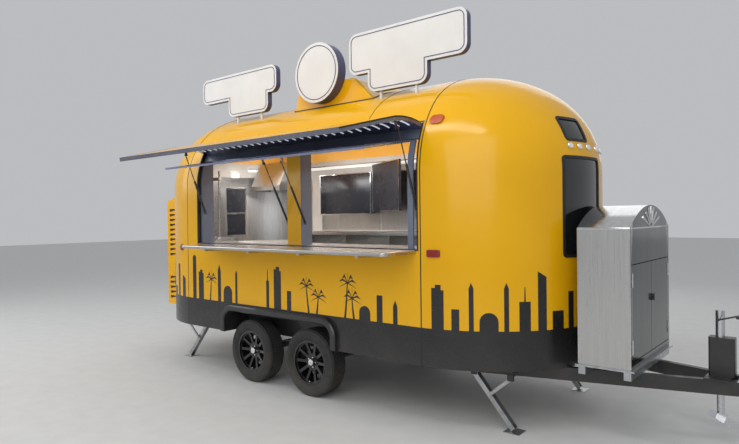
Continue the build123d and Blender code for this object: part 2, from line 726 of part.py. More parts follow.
# Leaf springs on the axles, hung from the rails
spring_low_z = axle_z + axle_size / 2
spring_high_z = rail_low_z
spring_packs = []
arc_radius = (spring_span**2 / 4 + spring_arch**2) / (2 * spring_arch)
for x in axle_x:
    pack = None
    for leaf in range(leaf_count):
        leaf_low_z = spring_low_z + leaf * leaf_thickness
        half_span = spring_span / 2 * (0.4 + 0.6 * (leaf + 1) / leaf_count)
        centre_z = leaf_low_z + arc_radius
        ring = Cylinder(arc_radius, leaf_width) - Cylinder(arc_radius - leaf_thickness, leaf_width)
        ring = Pos(x, rail_y, centre_z) * Rot(90, 0, 0) * ring
        band = ring & block((x - half_span, x + half_span), (0, far),
                            (leaf_low_z - 1, leaf_low_z + spring_arch + leaf_thickness))
        pack = band if pack is None else pack + band
    eye_z = spring_low_z + leaf_count * leaf_thickness + spring_arch - leaf_thickness / 2
    for end in (-1, 1):
        eye_x = x + end * spring_span / 2
        pack += rod((eye_x, rail_y - leaf_width / 2, eye_z), (eye_x, rail_y + leaf_width / 2, eye_z), 14)
        pack += block((eye_x - 22, eye_x + 22), (rail_y - leaf_width / 2, rail_y + leaf_width / 2),
                      (eye_z, spring_high_z))
    spring_packs += [pack, other_side(pack)]
parts["springs"] = together(*spring_packs)

# Wheels, made for the far side about their own centre with the outer face towards +Y
bead_inner_y = rim_width / 2 - rim_lip
rim_edge_y = rim_width / 2
ring_profile = Polyline(
    (rim_radius - rim_lip, -rim_edge_y), (rim_lip_radius, -rim_edge_y), (rim_lip_radius, -bead_inner_y),
    (rim_radius, rim_lip - bead_inner_y), (rim_radius, bead_inner_y - rim_lip),
    (rim_lip_radius, bead_inner_y), (rim_lip_radius, rim_edge_y), (rim_radius - rim_lip, rim_edge_y),
    (rim_radius - rim_well, 0), close=True)
rim = revolve(Plane.XY * make_face(ring_profile), Axis.Y)

# The rim's dished face, with a window cut between each two spokes
dish_radius = rim_radius - rim_lip
dish_profile = Polyline((0, dish_hub_y - dish_thickness), (hub_radius, dish_hub_y - dish_thickness),
                        (dish_radius, dish_rim_y - dish_thickness), (dish_radius, dish_rim_y),
                        (hub_radius, dish_hub_y), (0, dish_hub_y), close=True)
dish = revolve(Plane.XY * make_face(dish_profile), Axis.Y)
spoke_angle = pi / spoke_count
inner_half = spoke_angle - spoke_half_width / window_inner_radius
outer_half = spoke_angle - spoke_half_width / window_outer_radius
inner_corner = (window_inner_radius * sin(inner_half), window_inner_radius * cos(inner_half))
outer_corner = (window_outer_radius * sin(outer_half), window_outer_radius * cos(outer_half))
rim_window = make_face([
    Line((-inner_corner[0], inner_corner[1]), inner_corner),
    Line(inner_corner, outer_corner),
    ThreePointArc(outer_corner, (0, window_outer_radius), (-outer_corner[0], outer_corner[1])),
    Line((-outer_corner[0], outer_corner[1]), (-inner_corner[0], inner_corner[1])),
])
rim_window = fillet(rim_window.vertices(), rim_window_corner)
rim_window = extrude(Pos(0, rim_width / 2, 0) * (Plane.XZ * rim_window), rim_width / 2)
for index in range(spoke_count):
    dish -= Rot(0, index * 360 / spoke_count, 0) * rim_window
rim += dish
rim += rod((0, dish_hub_y - dish_thickness, 0), (0, dish_rim_y, 0), hub_cap_radius)
rim += rod((0, -hub_inner, 0), (0, dish_hub_y, 0), hub_radius)
rim += rod((0, -drum_inner, 0), (0, -hub_inner + 28, 0), drum_radius)
rim -= rod((0, -drum_inner - 1, 0), (0, stub_reach + 2, 0), spindle_radius + running_gap)
side_y = tyre_width / 2
seat_radius = rim_radius + seat_gap
bead_y = bead_inner_y - rim_lip - seat_gap
tread_y = tyre_width / 2 - 22
wall_end = (tyre_radius - tyre_shoulder, side_y - 6)
wall_middle = ((seat_radius + tyre_radius) / 2, side_y)
shoulder_middle = (tyre_radius - tyre_shoulder / 4, side_y - 13)
half_tyre = revolve(Plane.XY * make_face([
    Line((seat_radius, 0), (seat_radius, bead_y)),
    ThreePointArc((seat_radius, bead_y), wall_middle, wall_end),
    ThreePointArc(wall_end, shoulder_middle, (tyre_radius, tread_y)),
    Line((tyre_radius, tread_y), (tyre_radius, 0)),
    Line((tyre_radius, 0), (seat_radius, 0)),
]), Axis.Y)
tyre = half_tyre + other_side(half_tyre)
lip_room = Cylinder(rim_lip_radius + seat_gap, tyre_width + 2) - Cylinder(seat_radius - 1, tyre_width + 2)
lip_room = Rot(90, 0, 0) * lip_room - rod((0, -bead_y, 0), (0, bead_y, 0), tyre_radius)
tyre -= lip_room
for end, x in (("rear", axle_x[0]), ("front", axle_x[1])):
    for side in ("serving", "far"):
        place = Pos(x, wheel_y, axle_z)
        for piece_name, piece in (("tyre", tyre), ("rim", rim)):
            placed = place * piece
            parts[f"{piece_name}_{end}_{side}"] = placed if side == "far" else other_side(placed)

# Jack on the drawbar
saddle = block((jack_x - 80, jack_x + 80), (-saddle_half, saddle_half), (skirt_z, head_low_z))
clamp = block((jack_x - 70, jack_x + 95), (-48, 48), (head_low_z, jack_clamp_high_z))
clamp = fillet(clamp.edges().filter_by(Axis.Z), 14)
jack = saddle + clamp + rod((jack_x, 0, jack_tube_low_z), (jack_x, 0, jack_top_z), jack_tube_radius)
jack -= rod((jack_x, 0, jack_tube_low_z - 1), (jack_x, 0, jack_top_z - 8), jack_leg_radius + running_gap)
crank_z = jack_top_z - 60
crank_y = -jack_tube_radius - 40
crank_end = (jack_x + 130, crank_y, crank_z + 40)
jack += rod((jack_x, -jack_tube_radius + 2, crank_z), (jack_x, crank_y - 6, crank_z), 9)
jack += rod((jack_x, crank_y, crank_z), crank_end, 6)
jack += rod(crank_end, (crank_end[0], crank_y - 100, crank_end[2]), 11)
parts["jack"] = jack
leg = rod((jack_x, 0, jack_leg_low_z), (jack_x, 0, jack_tube_low_z + jack_hold), jack_leg_radius)
foot = Box(170, 150, 6)
foot += Pos(0, 0, 22) * Box(60, 30, 44)
leg += Pos(jack_x, 0, jack_leg_low_z - 38) * Rot(0, jack_foot_tilt, 0) * foot
parts["jack_leg"] = leg

# Corner steadies: a channel leg on a pin, held by a brace
leg_drop = steady_pivot_z - steady_sheet
leg_length = sqrt(steady_foot_run**2 + leg_drop**2)
for end, pivot_x in steady_pivot_x.items():
    way = 1 if end == "front" else -1
    foot_x = pivot_x + way * steady_foot_run
    start = (pivot_x, steady_y, steady_pivot_z)
    finish = (foot_x, steady_y, steady_sheet + steady_width / 4)
    channel_depth = steady_width * 0.8
    channel = flat_bar(start, finish, channel_depth, steady_width)
    channel -= Pos(0, 0, steady_sheet) * flat_bar(start, finish, channel_depth, steady_width - 2 * steady_sheet)
    channel &= block((pivot_x - leg_length, pivot_x + leg_length), (0, far), (steady_sheet, rail_low_z - 2))
    channel += rod((pivot_x, steady_y - steady_width / 2, steady_pivot_z),
                   (pivot_x, steady_y + steady_width / 2, steady_pivot_z), steady_pin * 2)
    channel -= rod((pivot_x, 0, steady_pivot_z), (pivot_x, far, steady_pivot_z), steady_pin + running_gap)
    pad = block((foot_x - steady_pad / 2, foot_x + steady_pad / 2),
                (steady_y - steady_pad / 2, steady_y + steady_pad / 2), (0, steady_sheet))
    steady = channel + pad
    brace_x = pivot_x + way * brace_run
    brace_y = steady_y + steady_width / 2 + swing_gap + brace_width / 2
    brace_end = (brace_x - way * brace_length * cos(radians(brace_drop)), brace_y,
                 steady_pivot_z - brace_length * sin(radians(brace_drop)))
    brace_start = (brace_x, brace_y, steady_pivot_z)
    brace = flat_bar(brace_start, brace_end, steady_width / 2, brace_width)
    brace += rod((brace_x, brace_y - brace_width / 2, steady_pivot_z),
                 (brace_x, brace_y + brace_width / 2, steady_pivot_z), steady_pin * 1.8)
    brace -= rod((brace_x, 0, steady_pivot_z), (brace_x, far, steady_pivot_z), steady_pin + running_gap)
    cheek_low_z = steady_pivot_z - steady_pin - 6
    for pin_x, centre_y, width in ((pivot_x, steady_y, steady_width), (brace_x, brace_y, brace_width)):
        span = width / 2 + seat_gap
        piece = rod((pin_x, centre_y - span - steady_sheet, steady_pivot_z),
                    (pin_x, centre_y + span + steady_sheet, steady_pivot_z), steady_pin)
        for cheek_side in (-1, 1):
            y = sorted((centre_y + cheek_side * span, centre_y + cheek_side * (span + steady_sheet)))
            piece += block((pin_x - 24, pin_x + 24), y, (cheek_low_z, rail_low_z - steady_sheet))
        piece += block((pin_x - 40, pin_x + 40),
                       (centre_y - span - steady_sheet, centre_y + span + steady_sheet),
                       (rail_low_z - steady_sheet, rail_low_z))
        chassis += piece + other_side(piece)
    for side in ("serving", "far"):
        parts[f"steady_leg_{end}_{side}"] = steady if side == "far" else other_side(steady)
        parts[f"steady_brace_{end}_{side}"] = brace if side == "far" else other_side(brace)
parts["chassis"] = chassis

# Locker on the drawbar, with an arched roof and two doors that face forward
locker_front_x = locker_rear_x + locker_length


def locker_section(inset):
    """The locker's section, with its arched top."""
    reach = locker_half_width - inset
    eaves = locker_eaves_z
    low_edge = locker_low_z + inset
    top = (0, locker_eaves_z + locker_arch_rise - inset)
    return Plane.YZ * make_face([
        Line((-reach, low_edge), (reach, low_edge)),
        Line((reach, low_edge), (reach, eaves)),
        ThreePointArc((reach, eaves), top, (-reach, eaves)),
        Line((-reach, eaves), (-reach, low_edge)),
    ])


locker = extrude(Pos(locker_rear_x, 0, 0) * locker_section(0), locker_length)
locker_cavity_x = (locker_rear_x + locker_sheet, locker_front_x - locker_door_thickness)
locker_cavity = Pos(locker_cavity_x[0], 0, 0) * locker_section(locker_sheet)
locker -= extrude(locker_cavity, locker_cavity_x[1] - locker_cavity_x[0])
locker_door_half = locker_half_width - locker_jamb
locker_door_z = (locker_door_low_z, locker_door_high_z)
locker -= block((locker_cavity_x[1] - 1, locker_front_x + 1), (-locker_door_half, locker_door_half),
                locker_door_z)
leaf_face = (locker_front_x - locker_door_thickness, locker_front_x)
locker_leaf = block(leaf_face, (swing_gap / 2, locker_door_half - swing_gap),
                    (locker_door_z[0] + swing_gap, locker_door_z[1] - swing_gap))
locker_pin = (locker_front_x + 2, locker_door_half - swing_gap / 2)
locker_leaves = {"far": locker_leaf, "serving": other_side(locker_leaf)}
for side, sign in (("far", 1), ("serving", -1)):
    for low_z in (locker_door_low_z + 60, locker_door_high_z - 160):
        pin_start = (locker_pin[0], sign * locker_pin[1], low_z)
        pin_end = (locker_pin[0], sign * locker_pin[1], low_z + 100)
        locker, locker_leaves[side] = hinge(locker, locker_leaves[side], pin_start, pin_end,
                                            locker_hinge_radius, 2)
latch = block((locker_front_x - 1, locker_front_x + 22), (swing_gap, swing_gap + 60),
              (locker_latch_z - 25, locker_latch_z + 25))
parts["locker"] = locker
parts["locker_door_far"] = locker_leaves["far"] + latch
parts["locker_door_serving"] = locker_leaves["serving"]
platform = block((locker_rear_x - 20, locker_front_x + 25),
                 (-locker_half_width - 15, locker_half_width + 15), (locker_low_z - platform_sheet, locker_low_z))
for x in (locker_rear_x, locker_front_x - bearer_width):
    platform += block((x, x + bearer_width), (-locker_half_width, locker_half_width),
                      (skirt_z, locker_low_z - platform_sheet))
parts["locker_platform"] = platform

# Louvred cabinet on the rear dome
cabinet_x = (tail_x - cabinet_reach, rear_axis_x - half_width * 0.6)
outline = Polyline((cabinet_x[0], cabinet_low_z), (cabinet_x[1], cabinet_low_z),
                   (cabinet_x[1], cabinet_high_z + cabinet_slope),
                   (cabinet_x[0], cabinet_high_z - cabinet_slope), close=True)
cabinet = extrude(Pos(0, cabinet_half_width, 0) * (Plane.XZ * make_face(outline)), 2 * cabinet_half_width)
cabinet -= hull(-seat_gap, skirt_z)
cabinet -= block((cabinet_x[0] + cabinet_sheet, cabinet_x[1]),
                 (cabinet_sheet - cabinet_half_width, cabinet_half_width - cabinet_sheet),
                 (cabinet_low_z + cabinet_sheet, cabinet_high_z - cabinet_slope - cabinet_sheet)
                 ) - hull(-cabinet_sheet, skirt_z)
for bank_low, bank_high in louvre_banks:
    slot_count = int((bank_high - bank_low) / louvre_pitch)
    for index in range(slot_count):
        slot_z = (bank_low + index * louvre_pitch, bank_low + (index + 0.55) * louvre_pitch)
        slot_x = (cabinet_x[0] + 45, cabinet_x[0] + 250)
        for sign in (-1, 1):
            y = sorted((sign * (cabinet_half_width - louvre_depth), sign * (cabinet_half_width + 1)))
            cabinet -= block(slot_x, y, slot_z)
        cabinet -= block((cabinet_x[0] - 1, cabinet_x[0] + louvre_depth),
                         (60 - cabinet_half_width, cabinet_half_width - 60), slot_z)
parts["rear_cabinet"] = cabinet.solids().sort_by(SortBy.VOLUME)[-1]

# Marker lamps: shallow lenses on the moulding
lens_front = hull(-lens_rise, skirt_z)
lens_back = hull(-seat_gap, cut_low_z)
lens_reach = half_width + 2 * lens_rise
lenses = []
for x, z, half_length, half_height, corner in side_lamps:
    blank = rounded_prism((x - half_length, x + half_length), (shoulder_y, lens_reach),
                          (z - half_height, z + half_height), corner, "y")
    lens = (lens_front & blank) - lens_back
    lenses += [lens, other_side(lens)]
for row_y, z, radius, start_x, way in (
        (front_lamp_y, front_lamp_z, front_lamp_radius, front_axis_x, 1),
        (tail_lamp_y, tail_lamp_z, tail_lamp_radius, rear_axis_x, -1)):
    for y in row_y:
        blank = rod((start_x, y, z), (start_x + way * lens_reach, y, z), radius)
        lens = (lens_front & blank) - lens_back
        lenses += [lens, other_side(lens)]
parts["lamps"] = together(*lenses)

# Cowl over the roof vent: a hollow moulding with a raked front, seated on the roof
roof_hull = hull(-seat_gap, skirt_z)
cowl_high_z = crest_z + cowl_rise
cowl_foot_z = crest_z - cowl_foot_drop
cowl_y = (sign_y + disc_thickness / 2, cowl_far_y)


def cowl_body(inset):
    """The cowl's outer form, or its hollow this far inside, down past the roof."""
    profile = make_face(Polyline(
        (cowl_foot_x[0] + inset, wall_top_z), (cowl_foot_x[0] + inset, cowl_foot_z),
        (cowl_top_x[0] + inset, cowl_high_z - inset), (cowl_top_x[1] - inset, cowl_high_z - inset),
        (cowl_foot_x[1] - inset, cowl_foot_z), (cowl_foot_x[1] - inset, wall_top_z), close=True))
    profile = fillet(profile.vertices().sort_by(Axis.Y)[-2:], cowl_round - inset)
    return extrude(Pos(0, cowl_y[1] - inset, 0) * (Plane.XZ * profile), cowl_y[1] - cowl_y[0] - 2 * inset)


cowl = cowl_body(0)
end_faces = cowl.faces().sort_by(Axis.Y)
end_edges = [edge for face in (end_faces[0], end_faces[-1]) for edge in face.edges()]
cowl = fillet([edge for edge in end_edges if edge.center().Z > cowl_foot_z], cowl_edge)
parts["roof_cowl"] = cowl - cowl_body(cowl_sheet) - roof_hull

# Roof signs: two boards on posts, and a round sign on the cowl's serving side
posts = []
sign_face = (sign_y - board_thickness / 2, sign_y + board_thickness / 2)
sign_boards = []
for lobes in boards:
    upper, lower = [rounded_prism(x, sign_face, (crest_z + rise[0], crest_z + rise[1]), board_corner, "y")
                    for x, rise in lobes]
    sign_boards.append(upper + lower)
    foot_x, foot_z = lobes[1]
    for share in post_shares:
        x = foot_x[0] + (foot_x[1] - foot_x[0]) * share
        posts.append(rod((x, sign_y, wall_top_z), (x, sign_y, crest_z + foot_z[0]), post_radius) - roof_hull)
disc_z = crest_z + disc_rise
disc_face_y = sign_y - disc_thickness / 2
parts["sign_disc"] = rod((disc_x, disc_face_y, disc_z), (disc_x, cowl_y[0], disc_z), disc_radius)
parts["sign_boards"] = together(*sign_boards)
parts["sign_posts"] = together(*posts)

# Fittings inside: counters along both walls, the hood and the upright spit
housing_room = block((housing_x[0] - swing_gap, housing_x[1] + swing_gap),
                     (housing_inner_y - swing_gap, far), (0, housing_top + swing_gap))


def counter(x, top_z, bays):
    """A run of counter on the far side: a carcass with open bays and a worktop."""
    back_y = inner_half_width - 2
    front_y = back_y - counter_depth
    carcass_top_z = top_z - worktop_thickness
    carcass = block(x, (front_y + worktop_lip, back_y), (floor_z, carcass_top_z))
    bay_run = (x[1] - x[0] - counter_sheet) / bays
    for index in range(bays):
        bay = (x[0] + index * bay_run + counter_sheet, x[0] + (index + 1) * bay_run)
        carcass -= block(bay, (front_y, back_y - counter_sheet),
                         (floor_z + plinth, carcass_top_z - counter_sheet))
        carcass -= block(bay, (front_y + 3 * worktop_lip, back_y - counter_sheet),
                         (floor_z - 1, floor_z + plinth - counter_sheet))
    carcass -= housing_room
    return (carcass + block(x, (front_y, back_y), (top_z - worktop_thickness, top_z))) & inner_hull


parts["back_counter"] = counter(back_counter_x, counter_top_z, 3)
serving = other_side(counter(serving_counter_x, sill_z, 5))
serving -= block((opening_rear_x - frame_lap - seat_gap, nose_x), (-far, frame_y[1] + seat_gap),
                 (frame_low_z - seat_gap, crest_z))
parts["serving_counter"] = serving


def hood_body(inset):
    """The hood's outer form over the rear end of the far wall, or its hollow this far inside."""
    edge_y = hood_front_y + inset
    low_z = hood_low_z if inset == 0 else hood_low_z - past
    profile = make_face(Polyline((half_width, low_z), (edge_y, low_z), (edge_y, hood_low_z + hood_lip),
                                 (edge_y + hood_rake, hood_high_z - inset),
                                 (half_width, hood_high_z - inset), close=True))
    length = hood_x[1] - hood_x[0] - 2 * inset
    body = extrude(Pos(hood_x[0] + inset, 0, 0) * (Plane.YZ * profile), length)
    return body & hull(wall + seat_gap + inset, skirt_z)


parts["hood"] = hood_body(0) - hood_body(hood_sheet)

# Upright grill on the serving counter: a tray, a burner panel at its rear end and a spit on a plate
spit_y = counter_depth - spit_setback - inner_half_width
tray_y = (spit_y - grill_tray[1], spit_y + grill_tray[1])
tray_z = (sill_z, sill_z + grill_rim)
burner_x = (spit_x - grill_tray[0], spit_x - grill_tray[0] + burner_thickness)
burner_high_z = tray_z[1] + burner_height
grill = block((spit_x - grill_tray[0], spit_x + grill_tray[0] * 0.7), tray_y, tray_z)
grill += block(burner_x, (tray_y[0] + grill_rim, tray_y[1] - grill_rim), (tray_z[1], burner_high_z))
grill += rod((spit_x, spit_y, tray_z[1]), (spit_x, spit_y, spit_rod_high_z), spit_rod_radius)
grill += rod((spit_x, spit_y, tray_z[1]), (spit_x, spit_y, tray_z[1] + grill_rim / 2), spit_plate_radius)
arm_half = 2 * spit_rod_radius
grill += block((burner_x[0], spit_x + arm_half), (spit_y - arm_half, spit_y + arm_half),
               (burner_high_z - grill_rim, burner_high_z))
parts["spit_grill"] = grill

# Centre the whole trailer on its box and write every piece
boxes = [shape.bounding_box() for shape in parts.values()]
shift = (
    -(min(box.min.X for box in boxes) + max(box.max.X for box in boxes)) / 2,
    -(min(box.min.Y for box in boxes) + max(box.max.Y for box in boxes)) / 2,
    -min(box.min.Z for box in boxes),
)
os.makedirs("parts", exist_ok=True)
for name, shape in parts.items():
    export_step(Pos(*shift) * Compound(shape.solids()), f"parts/{name}.step")
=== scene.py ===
"""A parked food trailer with a domed yellow body, dressed in the order in which it is built. Metres."""
import json
from math import acos, asin, atan2, cos, hypot, pi, radians, sin, sqrt

import bmesh
import bpy
from mathutils import Matrix, Vector


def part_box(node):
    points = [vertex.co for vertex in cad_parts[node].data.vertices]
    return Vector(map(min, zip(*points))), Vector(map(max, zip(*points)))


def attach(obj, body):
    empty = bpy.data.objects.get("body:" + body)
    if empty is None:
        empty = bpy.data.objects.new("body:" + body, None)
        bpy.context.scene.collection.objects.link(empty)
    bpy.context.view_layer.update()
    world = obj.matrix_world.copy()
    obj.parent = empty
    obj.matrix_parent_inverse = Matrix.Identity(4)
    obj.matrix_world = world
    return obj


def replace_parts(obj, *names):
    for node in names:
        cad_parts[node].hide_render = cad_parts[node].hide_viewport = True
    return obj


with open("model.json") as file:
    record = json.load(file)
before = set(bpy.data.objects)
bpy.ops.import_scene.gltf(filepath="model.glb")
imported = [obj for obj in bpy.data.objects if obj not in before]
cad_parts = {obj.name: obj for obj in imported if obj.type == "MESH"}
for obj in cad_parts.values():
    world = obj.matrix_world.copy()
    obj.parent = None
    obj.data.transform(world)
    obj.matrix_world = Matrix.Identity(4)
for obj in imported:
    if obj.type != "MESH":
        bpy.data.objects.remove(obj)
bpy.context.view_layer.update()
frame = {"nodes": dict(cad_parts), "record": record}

# Chassis: box-section rails, cross members and a drawbar, welded up and sprayed satin black,
# with road dust near the ground. All pieces are made about the point on the ground midway
# between the axles and under the body's centre plane, and then moved to their place.
road_dust = (0.17, 0.15, 0.12)
axle_low, axle_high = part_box("axles")
middle = Vector(((axle_low.x + axle_high.x) / 2, (axle_low.y + axle_high.y) / 2, 0))
sides = {"serving": -1, "far": 1}


def tree_node(tree, kind, **values):
    """A shader node with its settings and unlinked inputs."""
    node = tree.nodes.new("ShaderNode" + kind)
    for name, value in values.items():
        if hasattr(node, name):
            setattr(node, name, value)
        else:
            node.inputs[name.replace("_", " ")].default_value = value
    return node


def cloud(tree, scale, detail=3.0, stretch=(1, 1, 1)):
    """Soft noise on the piece's own coordinates."""
    place = tree_node(tree, "TexCoord")
    size = tree_node(tree, "Mapping", Scale=stretch)
    noise = tree_node(tree, "TexNoise", Scale=scale, Detail=detail)
    tree.links.new(place.outputs["Object"], size.inputs["Vector"])
    tree.links.new(size.outputs["Vector"], noise.inputs["Vector"])
    return noise.outputs["Fac"]


def between(tree, source, low, high, to_low=0.0, to_high=1.0):
    """A value carried from one span to another, and held at its ends."""
    span = tree_node(tree, "MapRange", clamp=True, From_Min=low, From_Max=high, To_Min=to_low, To_Max=to_high)
    tree.links.new(source, span.inputs["Value"])
    return span.outputs["Result"]


def blended(tree, share, first, second):
    """A colour between two, by a share from 0 to 1. Either may be a colour or another node's output."""
    mix = tree_node(tree, "Mix", data_type="RGBA")
    tree.links.new(share, mix.inputs["Factor"])
    for socket, colour in ((mix.inputs[6], first), (mix.inputs[7], second)):
        if isinstance(colour, tuple):
            socket.default_value = (*colour, 1)
        else:
            tree.links.new(colour, socket)
    return mix.outputs[2]


def product(tree, first, second):
    """Two shares multiplied."""
    times = tree_node(tree, "Math", operation="MULTIPLY")
    tree.links.new(first, times.inputs[0])
    tree.links.new(second, times.inputs[1])
    return times.outputs[0]


def height(tree):
    """How high a point is above the ground."""
    place = tree_node(tree, "TexCoord")
    split = tree_node(tree, "SeparateXYZ")
    tree.links.new(place.outputs["Object"], split.inputs["Vector"])
    return split.outputs["Z"]


def finish(name, colour, worn, rough, metal=0.0, coat=0.0, scale=6.0, stretch=(1, 1, 1), relief=0.0,
           dust_top=0.0, glow=0.0, clear=0.0, specular=0.5):
    """A surface that drifts between two colours and two roughnesses, with relief and dust up to a height."""
    made = bpy.data.materials.new(name)
    made.use_nodes = True
    tree = made.node_tree
    surface = tree.nodes["Principled BSDF"]
    for socket, value in (("Metallic", metal), ("Coat Weight", coat), ("Coat Roughness", 0.06),
                          ("Transmission Weight", clear), ("Specular IOR Level", specular)):
        surface.inputs[socket].default_value = value
    shade = blended(tree, between(tree, cloud(tree, scale, 4.0, stretch), 0.3, 0.7), colour, worn)
    if dust_top:
        low = between(tree, height(tree), 0.0, dust_top, 1.0, 0.0)
        patch = product(tree, low, between(tree, cloud(tree, 2.5, 8.0), 0.3, 0.8, 0.05, 0.55))
        shade = blended(tree, patch, shade, road_dust)
    tree.links.new(shade, surface.inputs["Base Color"])
    roughness = between(tree, cloud(tree, scale * 3, 5.0, stretch), 0.3, 0.7, *rough)
    tree.links.new(roughness, surface.inputs["Roughness"])
    if relief:
        bump = tree_node(tree, "Bump", Strength=0.5, Distance=relief)
        tree.links.new(cloud(tree, scale * 30, 2.0, stretch), bump.inputs["Height"])
        tree.links.new(bump.outputs["Normal"], surface.inputs["Normal"])
    if glow:
        tree.links.new(shade, surface.inputs["Emission Color"])
        surface.inputs["Emission Strength"].default_value = glow
    return made


def dress(material, *nodes):
    """Gives CAD nodes a material."""
    for node in nodes:
        mesh = frame["nodes"][node].data
        mesh.materials.clear()
        mesh.materials.append(material)


def slab(mesh, low, high, edge=0.0):
    """A block between two corners, its edges rounded."""
    low, high = Vector(low), Vector(high)
    place = Matrix.Translation((low + high) / 2) @ Matrix.Diagonal((*(high - low), 1))
    made = bmesh.ops.create_cube(mesh, size=1.0, matrix=place)
    if edge:
        edges = list({line for vert in made["verts"] for line in vert.link_edges})
        bmesh.ops.bevel(mesh, geom=edges, offset=edge, segments=2, affect="EDGES", profile=0.5, material=-1)
    return made["verts"]


def bar(mesh, start, end, radius, sides=20, end_radius=None, edge=0.0):
    """A round bar or cone between two points, the rims of its ends rounded."""
    start, end = Vector(start), Vector(end)
    run = end - start
    turn = run.to_track_quat("Z", "Y").to_matrix().to_4x4()
    made = bmesh.ops.create_cone(mesh, cap_ends=True, segments=sides, radius1=radius,
                                 radius2=radius if end_radius is None else end_radius, depth=run.length,
                                 matrix=Matrix.Translation((start + end) / 2) @ turn)
    if edge:
        rims = [line for line in {line for vert in made["verts"] for line in vert.link_edges}
                if any(len(face.verts) > 4 for face in line.link_faces)]
        bmesh.ops.bevel(mesh, geom=rims, offset=edge, segments=2, affect="EDGES", profile=0.5, material=-1)


def upright(mesh, x, y, low, high, radius, sides=12, **more):
    """A round bar that stands upright."""
    bar(mesh, (x, y, low), (x, y, high), radius, sides, **more)


def placed(name, data):
    """A new object in the scene."""
    made = bpy.data.objects.new(name, data)
    bpy.context.scene.collection.objects.link(made)
    return made


def fitted(name, mesh, body, slot, *materials, crease=35):
    """Turns a mesh made about the trailer's middle into a piece on a body."""
    bmesh.ops.recalc_face_normals(mesh, faces=mesh.faces)
    bmesh.ops.translate(mesh, verts=mesh.verts, vec=middle)
    data = bpy.data.meshes.new(name)
    mesh.to_mesh(data)
    mesh.free()
    for material in materials:
        data.materials.append(material)
    data.polygons.foreach_set("use_smooth", [True] * len(data.polygons))
    data.set_sharp_from_angle(angle=radians(crease))
    piece = placed(name, data)
    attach(piece, body)
    return piece


def box_of(node):
    """The lowest and highest corner of a CAD node, about the trailer's middle."""
    return [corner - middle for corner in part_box(node)]


black_steel = finish("black_steel", (0.012, 0.012, 0.013), (0.028, 0.027, 0.026), (0.32, 0.5), coat=0.2,
                     relief=0.0006, dust_top=0.5)
bright_zinc = finish("bright_zinc", (0.55, 0.56, 0.58), (0.68, 0.69, 0.70), (0.18, 0.34), metal=1.0,
                     scale=60.0, relief=0.0002)
dress(black_steel, "chassis", "axles", "springs", "wheel_housings")
locker_low, locker_high = box_of("locker")
platform_top = box_of("locker_platform")[1].z
bolt_inset = 0.025
bolts = bmesh.new()
for x in (locker_low.x + bolt_inset, locker_high.x - bolt_inset):
    for y in (-0.34, -0.17, 0.17, 0.34):
        upright(bolts, x, y, platform_top - 0.002, platform_top + 0.007, 0.010, 6, edge=0.001)
fitted("platform_bolts", bolts, "root", "bright_steel", bright_zinc)

# Axles and leaf springs: each axle is clamped to its spring packs by two U-bolts of bright
# round steel, with their nuts under a flat plate below the beam.
axle_z = (axle_low.z + axle_high.z) / 2
spring_y = box_of("springs")[1].y - 0.025
wheel_x = {end: sum(corner.x for corner in box_of(f"tyre_{end}_far")) / 2 for end in ("rear", "front")}
plate_half = (0.055, 0.042)
loop_half = (0.038, 0.032)
loop_radius = 0.005
loop_top = axle_high.z + 0.034
for end, x in wheel_x.items():
    clamps = bmesh.new()
    for side in (-1, 1):
        y = side * spring_y
        slab(clamps, (x - plate_half[0], y - plate_half[1], axle_low.z - 0.010),
             (x + plate_half[0], y + plate_half[1], axle_low.z - 0.001), 0.002)
        for loop_x in (x - loop_half[0], x + loop_half[0]):
            for leg_y in (y - loop_half[1], y + loop_half[1]):
                upright(clamps, loop_x, leg_y, axle_low.z - 0.022, loop_top + 0.002, loop_radius)
                upright(clamps, loop_x, leg_y, axle_low.z - 0.019, axle_low.z - 0.009, 0.009, 6)
            bar(clamps, (loop_x, y - 0.034, loop_top), (loop_x, y + 0.034, loop_top), loop_radius, 12)
    fitted(f"spring_clamps_{end}", clamps, "root", "bright_steel", bright_zinc)

# Tyres: moulded rubber on a drop-centre rim. The tread is two ribs and two rows of shoulder
# blocks, and thin ribs run round the sidewall.
rubber = finish("tyre_rubber", (0.016, 0.016, 0.016), (0.030, 0.029, 0.028), (0.62, 0.82), scale=14.0,
                relief=0.0008, dust_top=0.35)
tyre_low, tyre_high = box_of("tyre_front_far")
tyre_radius = (tyre_high.z - tyre_low.z) / 2
wheel_y = (tyre_low.y + tyre_high.y) / 2
half_tyre = (tyre_high.y - tyre_low.y) / 2 - 0.0004
tread_depth = 0.007
groove_radius = tyre_radius - tread_depth
tread_half = 0.074
groove = (0.034, 0.040)
seat_radius = 0.1964
tyre_profile = (    # radius, and distance from the centre plane: seat, bead, sidewall ribs, shoulder, tread
    (seat_radius, 0.0), (seat_radius, 0.0655),
    (0.2075, 0.0668), (0.2085, 0.0842), (0.2165, 0.0890), (0.2175, 0.0915), (0.2215, 0.0918),
    (0.2260, 0.0925), (0.2330, 0.0950), (0.2345, half_tyre), (0.2400, half_tyre), (0.2415, 0.0962),
    (0.2620, 0.0962), (0.2635, half_tyre - 0.0004), (0.2665, half_tyre - 0.0004), (0.2680, 0.0950),
    (0.2860, 0.0925), (0.2960, 0.0880), (groove_radius, tread_half + 0.002),
    (groove_radius, groove[1]), (groove_radius, groove[0]), (groove_radius, 0.0030), (groove_radius, 0.0))


def lathe(mesh, points, axis, steps):
    """A ring from a closed section that is spun about an axis."""
    section = [mesh.verts.new(point) for point in points]
    lines = [mesh.edges.new(pair) for pair in zip(section, section[1:] + section[:1])]
    bmesh.ops.spin(mesh, geom=section + lines, cent=(0, 0, 0), axis=axis, angle=2 * pi, steps=steps,
                   use_merge=True)


